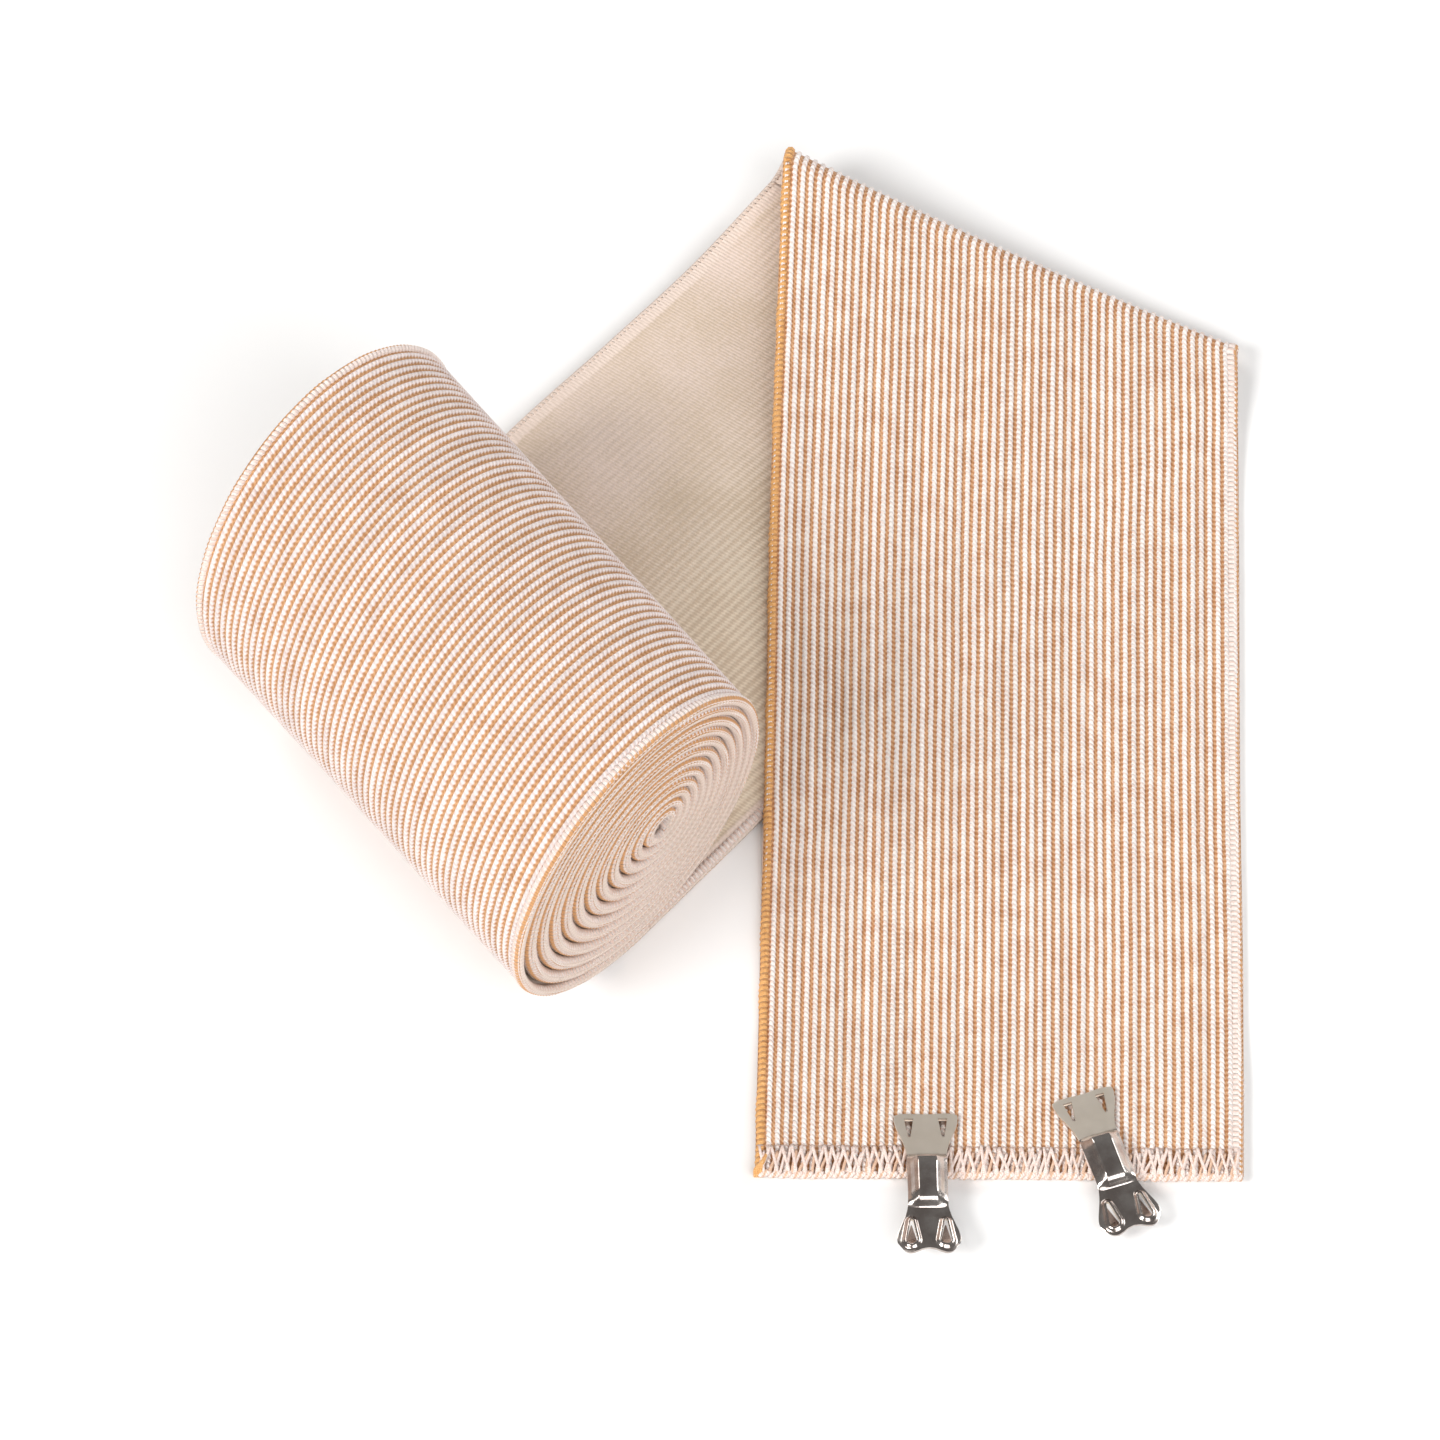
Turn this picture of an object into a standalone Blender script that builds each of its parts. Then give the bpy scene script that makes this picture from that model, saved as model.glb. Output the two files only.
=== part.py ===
"""An elastic bandage: a wound roll, a loose strip folded back beside it, and two metal clips.

The cloth is one long band. It is wound up from the roll's core, leaves under the roll as the
tail, turns over along a slanting fold, and ends in the strip, whose cut end is bound with thread.
Two stamped clips hook into the strip near that end.

Lengths are metres, +Z is up. The strip runs towards -Y, and +X points to its right. The design
starts at the point where the roll's near end meets the table; the finished object is then moved
so that the origin is the bottom centre of its box.
"""

import math

import bmesh
import bpy
import numpy as np

MM = 0.001

# Cloth
CLOTH_WIDTH = 75.0 * MM
CLOTH_THICKNESS = 1.3 * MM
CLEARANCE = 0.3 * MM

# Roll, wound outwards from its core
ROLL_TURNS = 12
CORE_RADIUS = 1.4 * MM
LAYER_GAP = 0.81 * MM
ROLL_HEADING = math.radians(49.5)
ROLL_SLANT = 13.7 * MM
NEAR_FLATTENING = 0.064
FAR_FLATTENING = 0.036
FAR_END_GROWTH = 1.06
NEAR_RIM_LEAN = 0.05
FAR_RIM_LEAN = 0.12
CORE_SHIFT = 0.22
CORE_DROP = 0.03

# Tail, from under the roll to the fold
TAIL_LENGTH = 140.2 * MM
TAIL_HEADING = math.radians(48.0)

# Fold
FOLD_HEADING = math.radians(-22.4)
FOLD_STRETCH = 1.012
FOLD_RADIUS_NEAR = 1.6 * MM
FOLD_RADIUS_FAR = 3.8 * MM
FOLD_ADVANCE = 0.17
ARCH_RUN_NEAR = 26.0 * MM
ARCH_RUN_FAR = 78.0 * MM

# Strip, from the fold to the cut end
STRIP_LENGTH = 147.2 * MM
STRIP_HEADING = math.radians(-91.6)
END_SKEW = math.radians(1.0)
STEP_RUN = 9.0 * MM
END_FLAT = 15.0 * MM
END_RAMP = 14.0 * MM

# Thread binding round the cut end
BINDING_DEPTH = 3.8 * MM
THREAD_THICKNESS = 0.3 * MM

# Clips
CLIP_LENGTH = 24.7 * MM
CLIP_WIDTH = 9.9 * MM
CLIP_SHEET = 0.45 * MM
ARCH_RISE = 1.9 * MM
CLAW_LENGTH = 1.7 * MM
CLAW_WIDTH = 1.5 * MM
PUNCH_LENGTH = 3.4 * MM
PUNCH_INSET = 0.9 * MM
PUNCH_SPACING = 5.2 * MM
PUNCH_TAPER = 0.22
CLAW_ROOT = 0.6
CLAW_EDGE = 0.7

# Tail, a row for each section from the roll to the fold. The far edge's outward bow and its lift
# off the table are shares of the cloth's width.
TAIL_ROWS = (
    dict(share=0.00, bow=0.000, lift=0.000),
    dict(share=0.18, bow=0.010, lift=0.008),
    dict(share=0.38, bow=0.020, lift=0.026),
    dict(share=0.62, bow=0.012, lift=0.028),
    dict(share=0.83, bow=0.008, lift=0.034),
    dict(share=1.00, bow=0.000, lift=0.090),
)

# Strip, a row for each section from the fold to the cut end. Each edge's sideways bow is a share
# of the cloth's width, positive to the right.
STRIP_ROWS = (
    dict(share=0.00, left_bow=0.0000, right_bow=0.0000),
    dict(share=0.15, left_bow=-0.0030, right_bow=0.0030),
    dict(share=0.35, left_bow=-0.0040, right_bow=0.0025),
    dict(share=0.55, left_bow=0.0020, right_bow=0.0020),
    dict(share=0.75, left_bow=0.0060, right_bow=0.0050),
    dict(share=1.00, left_bow=0.0110, right_bow=0.0030),
)

# Clip, a row for each cross-section from the upper end to the lower end. Places along it are
# shares of the clip's length, half-widths of half its width, rise and side drop of the arch's
# rise; setback is how much of the end outline's own rounding the row takes.
CLIP_ROWS = (
    dict(along=0.000, half_width=0.97, rise=0.00, side_drop=0.00, setback=0.0),
    dict(along=0.045, half_width=1.00, rise=0.00, side_drop=0.00, setback=0.0),
    dict(along=0.120, half_width=0.90, rise=0.00, side_drop=0.00, setback=0.0),
    dict(along=0.190, half_width=0.75, rise=0.00, side_drop=0.00, setback=0.0),
    dict(along=0.250, half_width=0.65, rise=0.00, side_drop=0.00, setback=0.0),
    dict(along=0.305, half_width=0.61, rise=0.00, side_drop=0.00, setback=0.0),
    dict(along=0.340, half_width=0.60, rise=0.80, side_drop=0.60, setback=0.0),
    dict(along=0.385, half_width=0.60, rise=1.00, side_drop=0.78, setback=0.0),
    dict(along=0.490, half_width=0.59, rise=1.00, side_drop=0.78, setback=0.0),
    dict(along=0.600, half_width=0.58, rise=1.00, side_drop=0.78, setback=0.0),
    dict(along=0.645, half_width=0.59, rise=0.80, side_drop=0.60, setback=0.0),
    dict(along=0.680, half_width=0.62, rise=0.05, side_drop=0.05, setback=0.0),
    dict(along=0.740, half_width=0.70, rise=0.00, side_drop=0.08, setback=0.0),
    dict(along=0.810, half_width=0.85, rise=0.00, side_drop=0.15, setback=0.0),
    dict(along=0.880, half_width=0.96, rise=0.00, side_drop=0.20, setback=0.2),
    dict(along=0.950, half_width=0.98, rise=0.00, side_drop=0.24, setback=0.6),
    dict(along=1.000, half_width=0.90, rise=0.00, side_drop=0.28, setback=1.0),
)

# Clip, a column for each place across it: the place as a share of the half-width, how much of
# the arch's side drop it takes, and the lower end's setback as a share of the clip's width.
CLIP_COLUMNS = (
    dict(place=0.00, drop=0.00, setback=0.075),
    dict(place=0.22, drop=0.00, setback=0.055),
    dict(place=0.45, drop=0.00, setback=0.010),
    dict(place=0.62, drop=0.30, setback=0.000),
    dict(place=0.82, drop=0.70, setback=0.045),
    dict(place=1.00, drop=1.00, setback=0.170),
)

# Where each clip is hooked on: its centre as a share of the cloth's width from the strip's left
# edge, how far the centre lies past the cut end as a share of the clip's length, and its turn seen
# from above, in degrees.
CLIPS = (
    dict(name="clip_upright", across=0.353, past_end=0.106, turn=0.6),
    dict(name="clip_slanted", across=0.722, past_end=-0.068, turn=18.0),
)

# How finely the solids are faceted
OUTER_TURN_STEPS = 24
INNER_TURN_STEPS = 12
INNER_TURNS_SHARE = 0.45
CLOTH_COLUMNS = 6
BEND_STEPS = 8
TAIL_SHARES = (0.06, 0.13, 0.22, 0.34, 0.48, 0.62, 0.76, 0.88, 1.0)
STRIP_SHARES = (0.025, 0.06, 0.11, 0.17, 0.24, 0.32, 0.40, 0.48, 0.57, 0.66, 0.75, 0.83, 0.89, 0.94, 0.97, 1.0)
BINDING_COLUMNS = 20
BINDING_BEND_STEPS = 6

LAYER_PITCH = CLOTH_THICKNESS + LAYER_GAP
OUTER_RADIUS = CORE_RADIUS + LAYER_PITCH * ROLL_TURNS
HALF_CLOTH = CLOTH_THICKNESS / 2
BINDING_LIFT = CLEARANCE + THREAD_THICKNESS


def heading_vector(angle):
    return np.array([math.cos(angle), math.sin(angle)])


def mix(start, end, share):
    return start + (end - start) * share


def ease(share):
    """Rise smoothly from 0 to 1."""
    share = min(max(share, 0.0), 1.0)
    return share * share * (3 - 2 * share)


def read_rows(rows, column, share):
    """Read one column between the rows, as a smooth curve through them."""
    places = [row["share"] for row in rows]
    values = [row[column] for row in rows]
    slopes = np.gradient(values, places)
    share = min(max(share, places[0]), places[-1])
    above = max(1, int(np.searchsorted(places, share)))
    below = above - 1
    span = places[above] - places[below]
    part = (share - places[below]) / span
    start_weight = (1 + 2 * part) * (1 - part) ** 2
    end_weight = part * part * (3 - 2 * part)
    bend = span * (part * (1 - part) ** 2 * slopes[below] - part * part * (1 - part) * slopes[above])
    return values[below] * start_weight + values[above] * end_weight + bend


# Plan of the cloth on the table. "Across" is 0 at the roll's near end and the strip's right edge,
# and 1 at the roll's far end and the strip's left edge.
ACROSS_ROLL = heading_vector(ROLL_HEADING)
ALONG_ROLL = heading_vector(ROLL_HEADING + math.pi / 2)
ALONG_TAIL = heading_vector(TAIL_HEADING)
ACROSS_TAIL = heading_vector(TAIL_HEADING + math.pi / 2)
ALONG_FOLD = heading_vector(FOLD_HEADING)
BEYOND_FOLD = heading_vector(FOLD_HEADING + math.pi / 2)
ALONG_STRIP = heading_vector(STRIP_HEADING)

FAR_CONTACT = ALONG_ROLL * CLOTH_WIDTH + ACROSS_ROLL * ROLL_SLANT
FOLD_LENGTH = FOLD_STRETCH * CLOTH_WIDTH / math.sin(TAIL_HEADING - FOLD_HEADING)
FOLD_NEAR = ALONG_TAIL * TAIL_LENGTH
FOLD_FAR = FOLD_NEAR - ALONG_FOLD * FOLD_LENGTH


def fold_radius(across):
    return mix(FOLD_RADIUS_NEAR, FOLD_RADIUS_FAR, across)


def fold_advance(across):
    """How far the cloth moves along the fold while it turns round it."""
    return ALONG_FOLD * FOLD_ADVANCE * math.pi * fold_radius(across)


STRIP_TOP_RIGHT = FOLD_NEAR + fold_advance(0)
STRIP_TOP_LEFT = FOLD_FAR + fold_advance(1)
STRIP_END_RIGHT = STRIP_TOP_RIGHT + ALONG_STRIP * STRIP_LENGTH
ACROSS_END = heading_vector(STRIP_HEADING - math.pi / 2 + END_SKEW)
STRIP_END_LEFT = STRIP_END_RIGHT + ACROSS_END * CLOTH_WIDTH


def roll_point(turn, across):
    """A point of the wound cloth's middle surface, turns counted outwards from the core."""
    angle = -math.pi / 2 - 2 * math.pi * (ROLL_TURNS - turn)
    radius = CORE_RADIUS + LAYER_PITCH * turn
    inward = OUTER_RADIUS - radius
    growth = mix(1, FAR_END_GROWTH, across)
    flattening = mix(NEAR_FLATTENING, FAR_FLATTENING, across)
    sideways = growth * (radius * (1 + flattening) * math.cos(angle) + CORE_SHIFT * inward)
    rise = (OUTER_RADIUS + radius * math.sin(angle)) * (1 - flattening) - CORE_DROP * inward
    height = HALF_CLOTH + growth * rise
    lean = mix(NEAR_RIM_LEAN, FAR_RIM_LEAN, across) * (height - HALF_CLOTH)
    plan = FAR_CONTACT * across + ACROSS_ROLL * sideways + ALONG_ROLL * lean
    return (*plan, height)


def tail_height(plan):
    """Height of the cloth's middle surface where it lies as the tail, at a place in plan."""
    across = min(max(float(plan @ ACROSS_TAIL) / CLOTH_WIDTH, 0.0), 1.0)
    start = across * float(FAR_CONTACT @ ALONG_TAIL)
    end = TAIL_LENGTH - across * FOLD_LENGTH * float(ALONG_FOLD @ ALONG_TAIL)
    share = (float(plan @ ALONG_TAIL) - start) / (end - start)
    return HALF_CLOTH + CLOTH_WIDTH * read_rows(TAIL_ROWS, "lift", share) * across ** 2


def tail_point(share, across):
    start = FAR_CONTACT * across
    end = mix(FOLD_NEAR, FOLD_FAR, across)
    bow = ACROSS_TAIL * CLOTH_WIDTH * read_rows(TAIL_ROWS, "bow", share) * across
    plan = mix(start, end, share) + bow
    return (*plan, tail_height(plan))


def bend_point(share, across):
    """A point on the rounded fold, from the tail's side at 0 to the strip's side at 1."""
    radius = fold_radius(across)
    angle = math.pi * share
    axis = mix(FOLD_NEAR, FOLD_FAR, across)
    plan = axis + BEYOND_FOLD * radius * math.sin(angle) + fold_advance(across) * share
    return (*plan, tail_height(axis) + radius * (1 - math.cos(angle)))


def strip_height(plan, across, from_end):
    """Height of the strip's middle surface: over the fold's arch, the tail and the bound end."""
    inside_tail = float(plan @ ACROSS_TAIL)
    over_tail = ease(1 + inside_tail / STEP_RUN)
    from_fold = float((FOLD_NEAR - plan) @ BEYOND_FOLD)
    layer_step = CLOTH_THICKNESS + CLEARANCE
    arch = 2 * fold_radius(across) - layer_step
    arch_run = mix(ARCH_RUN_NEAR, ARCH_RUN_FAR, across)
    end_lift = BINDING_LIFT * ease((END_FLAT + END_RAMP - from_end) / END_RAMP)
    return tail_height(plan) + layer_step * over_tail + arch * (1 - ease(from_fold / arch_run)) + end_lift


def strip_point(share, across):
    right = mix(STRIP_TOP_RIGHT, STRIP_END_RIGHT, share)
    left = mix(STRIP_TOP_LEFT, STRIP_END_LEFT, share)
    bow = mix(read_rows(STRIP_ROWS, "right_bow", share), read_rows(STRIP_ROWS, "left_bow", share), across)
    plan = mix(right, left, across) + np.array([CLOTH_WIDTH * bow, 0.0])
    from_end = float((mix(STRIP_END_RIGHT, STRIP_END_LEFT, across) - plan) @ ALONG_STRIP)
    return (*plan, strip_height(plan, across, from_end))


def end_point(across):
    """A point of the cloth's cut end, in the middle of its thickness."""
    return np.array(strip_point(1.0, across))


def cloth_stations():
    """List where the cloth's cross lines lie, from the roll's core to the cut end."""
    inner_turns = round(ROLL_TURNS * INNER_TURNS_SHARE)
    inner = [(roll_point, step / INNER_TURN_STEPS) for step in range(inner_turns * INNER_TURN_STEPS)]
    outer_steps = round((ROLL_TURNS - inner_turns) * OUTER_TURN_STEPS)
    outer = [(roll_point, inner_turns + step / OUTER_TURN_STEPS) for step in range(outer_steps + 1)]
    tail = [(tail_point, share) for share in TAIL_SHARES]
    bend = [(bend_point, step / BEND_STEPS) for step in range(1, BEND_STEPS + 1)]
    strip = [(strip_point, share) for share in STRIP_SHARES]
    return inner + outer + tail + bend + strip


def material(name, colour, roughness, metallic):
    made = bpy.data.materials.new(name)
    made.use_nodes = True
    surface = made.node_tree.nodes["Principled BSDF"]
    surface.inputs["Base Color"].default_value = (*colour, 1.0)
    surface.inputs["Roughness"].default_value = roughness
    surface.inputs["Metallic"].default_value = metallic
    return made


def mesh_from_grid(name, columns, rows, place):
    """Lay a flat grid and move each of its points to place(column, row)."""
    grid = bmesh.new()
    bmesh.ops.create_grid(grid, x_segments=columns, y_segments=rows, size=1.0)
    for point in grid.verts:
        column = round((point.co.x + 1) / 2 * columns)
        row = round((point.co.y + 1) / 2 * rows)
        point.co = place(column, row)
    mesh = bpy.data.meshes.new(name)
    grid.to_mesh(mesh)
    grid.free()
    return mesh


def add_object(name, mesh, collection, parent, surface):
    made = bpy.data.objects.new(name, mesh)
    collection.objects.link(made)
    made.parent = parent
    if surface is not None and not mesh.materials:
        mesh.materials.append(surface)
    return made


def add_wall(piece, thickness):
    wall = piece.modifiers.new("wall", "SOLIDIFY")
    wall.thickness = thickness
    wall.offset = 0.0


def smooth(mesh, angle):
    mesh.shade_smooth()
    mesh.set_sharp_from_angle(angle=math.radians(angle))


def make_cloth(collection, parent):
    stations = cloth_stations()

    def place(column, row):
        shape, share = stations[column]
        return shape(share, row / CLOTH_COLUMNS)

    mesh = mesh_from_grid("bandage_cloth", len(stations) - 1, CLOTH_COLUMNS, place)
    smooth(mesh, 50)
    cloth = add_object("bandage_cloth", mesh, collection, parent,
                       material("cloth_tan_stripe", (0.78, 0.60, 0.45), 0.85, 0.0))
    add_wall(cloth, CLOTH_THICKNESS)
    return cloth


def make_binding(collection, parent):
    """The thread that wraps the cut end: down its top, round the edge and back underneath."""
    reach = HALF_CLOTH + CLEARANCE + THREAD_THICKNESS / 2
    bend = [math.pi * step / BINDING_BEND_STEPS for step in range(BINDING_BEND_STEPS + 1)]
    outline = [(-BINDING_DEPTH, reach)]
    outline += [(-BINDING_DEPTH / 2, reach)]
    outline += [(reach * math.sin(angle), reach * math.cos(angle)) for angle in bend]
    outline += [(-BINDING_DEPTH / 2, -reach), (-BINDING_DEPTH, -reach)]

    def place(column, row):
        past_end, height = outline[row]
        return end_point(column / BINDING_COLUMNS) + (*(ALONG_STRIP * past_end), height)

    mesh = mesh_from_grid("end_binding", BINDING_COLUMNS, len(outline) - 1, place)
    smooth(mesh, 50)
    binding = add_object("end_binding", mesh, collection, parent,
                         material("thread_pale", (0.90, 0.80, 0.74), 0.8, 0.0))
    add_wall(binding, THREAD_THICKNESS)
    return binding


def clip_columns():
    """List the clip's columns from its left side to its right side."""
    right = [dict(column, side=1) for column in CLIP_COLUMNS]
    left = [dict(column, side=-1) for column in CLIP_COLUMNS[:0:-1]]
    return left + right


def clip_sheet_mesh():
    """The stamped sheet's middle surface, its upper end towards +Y and its underside at z = 0."""
    columns = clip_columns()

    def place(column_index, row_index):
        row = CLIP_ROWS[row_index]
        column = columns[column_index]
        half_width = row["half_width"] * CLIP_WIDTH / 2
        setback = row["setback"] * column["setback"] * CLIP_WIDTH
        height = ARCH_RISE * (row["rise"] - row["side_drop"] * column["drop"])
        along = CLIP_LENGTH * (0.5 - row["along"]) + setback
        return (column["side"] * column["place"] * half_width, along, height + CLIP_SHEET / 2)

    return mesh_from_grid("clip_sheet", len(columns) - 1, len(CLIP_ROWS) - 1, place)


def punch_places():
    """The four punched claws: their side and their end, each as +1 or -1."""
    return [(side, end) for end in (1, -1) for side in (-1, 1)]


def wedge_mesh(name, root_width, tip_width, length, depth):
    """A blade that hangs down from z = 0 and tapers towards its tip."""
    block = bmesh.new()
    bmesh.ops.create_cube(block, size=1.0)
    for point in block.verts:
        share = 0.5 - point.co.z
        point.co = (point.co.x * mix(root_width, tip_width, share), point.co.y * depth, -length * share)
    mesh = bpy.data.meshes.new(name)
    block.to_mesh(mesh)
    block.free()
    return mesh


def hide_tool(tool):
    tool.hide_render = True
    tool.display_type = "WIRE"


def add_cut(piece, tool, operation):
    cut = piece.modifiers.new(tool.name, "BOOLEAN")
    cut.object = tool
    cut.operation = operation
    cut.solver = "EXACT"


def claw_place(side, end):
    """The middle of a claw's root, in the clip's own plan."""
    return side * PUNCH_SPACING / 2, end * (CLIP_LENGTH / 2 - PUNCH_INSET - CLIP_SHEET / 2)


def stamped_clip_mesh(tools):
    """Punch the sheet's four openings and join the claws that were bent down out of them."""
    sheet = bpy.data.objects.new("clip_pattern", clip_sheet_mesh())
    tools.objects.link(sheet)
    add_wall(sheet, CLIP_SHEET)
    used = [sheet]
    for side, end in punch_places():
        across, along = claw_place(side, end)
        punch_tip = CLAW_WIDTH * PUNCH_TAPER
        punch_mesh = wedge_mesh("punch", CLAW_WIDTH, punch_tip, PUNCH_LENGTH, CLIP_SHEET + 2 * ARCH_RISE)
        punch = bpy.data.objects.new("punch", punch_mesh)
        punch.location = (across, along - end * CLIP_SHEET * CLAW_EDGE, CLIP_SHEET / 2)
        punch.rotation_euler = (-end * math.pi / 2, 0, 0)
        root_height = CLIP_SHEET * CLAW_ROOT
        claw_mesh = wedge_mesh("claw", CLAW_WIDTH, punch_tip, CLAW_LENGTH + root_height, CLIP_SHEET)
        claw = bpy.data.objects.new("claw", claw_mesh)
        claw.location = (across, along, root_height)
        for tool, operation in ((punch, "DIFFERENCE"), (claw, "UNION")):
            tools.objects.link(tool)
            hide_tool(tool)
            add_cut(sheet, tool, operation)
            used.append(tool)
    depsgraph = bpy.context.evaluated_depsgraph_get()
    mesh = bpy.data.meshes.new_from_object(sheet.evaluated_get(depsgraph))
    mesh.name = "clip"
    for tool in used:
        bpy.data.objects.remove(tool)
    return mesh


def seat_tilt(clip):
    """The tilt at which a clip whose upper end rests on the cloth just clears the binding."""
    skew = CLIP_WIDTH / 2 * abs(math.sin(math.radians(clip["turn"])))
    cut_end = CLIP_LENGTH * (0.5 - clip["past_end"])
    over_binding = np.linspace(cut_end - BINDING_DEPTH - skew, cut_end + HALF_CLOTH + BINDING_LIFT + skew, 30)
    rows_along = [row["along"] * CLIP_LENGTH for row in CLIP_ROWS]
    rows_edge = [(row["rise"] - row["side_drop"]) * ARCH_RISE for row in CLIP_ROWS]
    short_by = BINDING_LIFT - np.interp(over_binding, rows_along, rows_edge)
    return math.asin(max(0.0, float(np.max(short_by / over_binding))))


def place_on_cloth(piece, clip):
    """Set a clip down with its upper end on the cloth, turned as its row says."""
    edge = end_point(1 - clip["across"])
    tilt = seat_tilt(clip)
    plan = edge[:2] + ALONG_STRIP * CLIP_LENGTH * clip["past_end"]
    height = edge[2] + HALF_CLOTH + CLEARANCE + math.sin(tilt) * CLIP_LENGTH / 2
    piece.location = (*plan, height)
    piece.rotation_euler = (-tilt, 0, math.radians(clip["turn"]))


def make_slit_tool(name, tools, parent):
    """The hole that a claw works through the cloth: the claw's blade with clearance all round."""
    width = CLAW_WIDTH + 2 * CLEARANCE
    depth = CLIP_SHEET + 2 * CLEARANCE
    mesh = wedge_mesh(name, width, width, 2 * (CLAW_LENGTH + CLOTH_THICKNESS), depth)
    tool = bpy.data.objects.new(name, mesh)
    tools.objects.link(tool)
    tool.parent = parent
    hide_tool(tool)
    return tool


def make_clips(collection, tools, parent, cloth):
    mesh = stamped_clip_mesh(tools)
    smooth(mesh, 40)
    metal = material("clip_nickel", (0.55, 0.52, 0.49), 0.28, 1.0)
    for clip in CLIPS:
        piece = add_object(clip["name"], mesh, collection, parent, metal)
        place_on_cloth(piece, clip)
        for side in (-1, 1):
            across, along = claw_place(side, 1)
            tool = make_slit_tool(f"slit_{clip['name']}_{'left' if side < 0 else 'right'}", tools, piece)
            tool.location = (across, along, CLOTH_THICKNESS)
            add_cut(cloth, tool, "DIFFERENCE")


def centre_on_table(root, collection):
    """Move the whole object so that the origin is the bottom centre of its box."""
    bpy.context.view_layer.update()
    depsgraph = bpy.context.evaluated_depsgraph_get()
    corners = []
    for piece in collection.objects:
        if piece.type == "MESH":
            solid = piece.evaluated_get(depsgraph)
            corners += [solid.matrix_world @ point.co for point in solid.data.vertices]
    corners = np.array(corners)
    low = corners.min(axis=0)
    high = corners.max(axis=0)
    root.location = (-(low[0] + high[0]) / 2, -(low[1] + high[1]) / 2, -low[2])


def main():
    for old in list(bpy.data.objects):
        bpy.data.objects.remove(old)
    collection = bpy.data.collections.new("elastic_bandage")
    tools = bpy.data.collections.new("cutters")
    for group in (collection, tools):
        bpy.context.scene.collection.children.link(group)
    root = bpy.data.objects.new("bandage_origin", None)
    collection.objects.link(root)
    cloth = make_cloth(collection, root)
    make_binding(collection, root)
    make_clips(collection, tools, root, cloth)
    centre_on_table(root, collection)


main()
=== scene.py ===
"""The look of the elastic bandage: its woven faces, overlock edges, bound end, clips, light and camera.

Every shape below repeats the part's own surface, in metres, and adds what the eye sees on it.
A place along the cloth is a station: 0 to 12 in the roll's turns, then one each for the tail,
the bend and the strip. A place across it is 0 at the pale edge and 1 at the orange edge.
"""

import math

import bmesh
import bpy
import numpy as np
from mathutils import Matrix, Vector


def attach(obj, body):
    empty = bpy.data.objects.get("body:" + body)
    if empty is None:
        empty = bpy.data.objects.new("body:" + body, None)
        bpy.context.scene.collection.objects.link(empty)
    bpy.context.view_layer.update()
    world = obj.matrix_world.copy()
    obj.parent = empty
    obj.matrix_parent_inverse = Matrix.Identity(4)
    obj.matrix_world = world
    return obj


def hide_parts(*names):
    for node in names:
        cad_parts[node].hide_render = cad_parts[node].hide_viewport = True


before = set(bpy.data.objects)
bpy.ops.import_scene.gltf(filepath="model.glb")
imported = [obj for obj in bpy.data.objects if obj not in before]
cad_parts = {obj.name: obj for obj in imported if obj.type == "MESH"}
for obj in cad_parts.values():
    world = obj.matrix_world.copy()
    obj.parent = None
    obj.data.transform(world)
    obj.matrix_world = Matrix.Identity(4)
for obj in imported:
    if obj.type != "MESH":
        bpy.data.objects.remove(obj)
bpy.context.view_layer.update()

MM = 0.001
DESIGN_TO_WORLD = np.array([-12.70 * MM, -40.46 * MM, 0.0])

# Sizes of the part
CLOTH_WIDTH = 75.0 * MM
CLOTH_THICKNESS = 1.3 * MM
CLEARANCE = 0.3 * MM
ROLL_TURNS = 12
CORE_RADIUS = 1.4 * MM
LAYER_PITCH = CLOTH_THICKNESS + 0.81 * MM
ROLL_HEADING = math.radians(49.5)
ROLL_SLANT = 13.7 * MM
NEAR_FLATTENING = 0.064
FAR_FLATTENING = 0.036
FAR_END_GROWTH = 1.06
NEAR_RIM_LEAN = 0.05
FAR_RIM_LEAN = 0.12
CORE_SHIFT = 0.22
CORE_DROP = 0.03
TAIL_LENGTH = 140.2 * MM
TAIL_HEADING = math.radians(48.0)
FOLD_HEADING = math.radians(-22.4)
FOLD_STRETCH = 1.012
FOLD_RADIUS_NEAR = 1.6 * MM
FOLD_RADIUS_FAR = 3.8 * MM
FOLD_ADVANCE = 0.17
ARCH_RUN_NEAR = 26.0 * MM
ARCH_RUN_FAR = 78.0 * MM
STRIP_LENGTH = 147.2 * MM
STRIP_HEADING = math.radians(-91.6)
END_SKEW = math.radians(1.0)
STEP_RUN = 9.0 * MM
END_FLAT = 15.0 * MM
END_RAMP = 14.0 * MM
BINDING_DEPTH = 3.8 * MM
BINDING_LIFT = CLEARANCE + 0.3 * MM
OUTER_RADIUS = CORE_RADIUS + LAYER_PITCH * ROLL_TURNS
HALF_CLOTH = CLOTH_THICKNESS / 2

TAIL_ROWS = (
    dict(share=0.00, bow=0.000, lift=0.000),
    dict(share=0.18, bow=0.010, lift=0.008),
    dict(share=0.38, bow=0.020, lift=0.026),
    dict(share=0.62, bow=0.012, lift=0.028),
    dict(share=0.83, bow=0.008, lift=0.034),
    dict(share=1.00, bow=0.000, lift=0.090),
)
STRIP_ROWS = (
    dict(share=0.00, left_bow=0.0000, right_bow=0.0000),
    dict(share=0.15, left_bow=-0.0030, right_bow=0.0030),
    dict(share=0.35, left_bow=-0.0040, right_bow=0.0025),
    dict(share=0.55, left_bow=0.0020, right_bow=0.0020),
    dict(share=0.75, left_bow=0.0060, right_bow=0.0050),
    dict(share=1.00, left_bow=0.0110, right_bow=0.0030),
)

CLIP_LENGTH = 24.7 * MM
CLIP_WIDTH = 9.9 * MM
CLIP_SHEET = 0.45 * MM
ARCH_RISE = 1.9 * MM
PUNCH_SPACING = 5.2 * MM
PUNCH_INSET = 0.9 * MM

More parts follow.
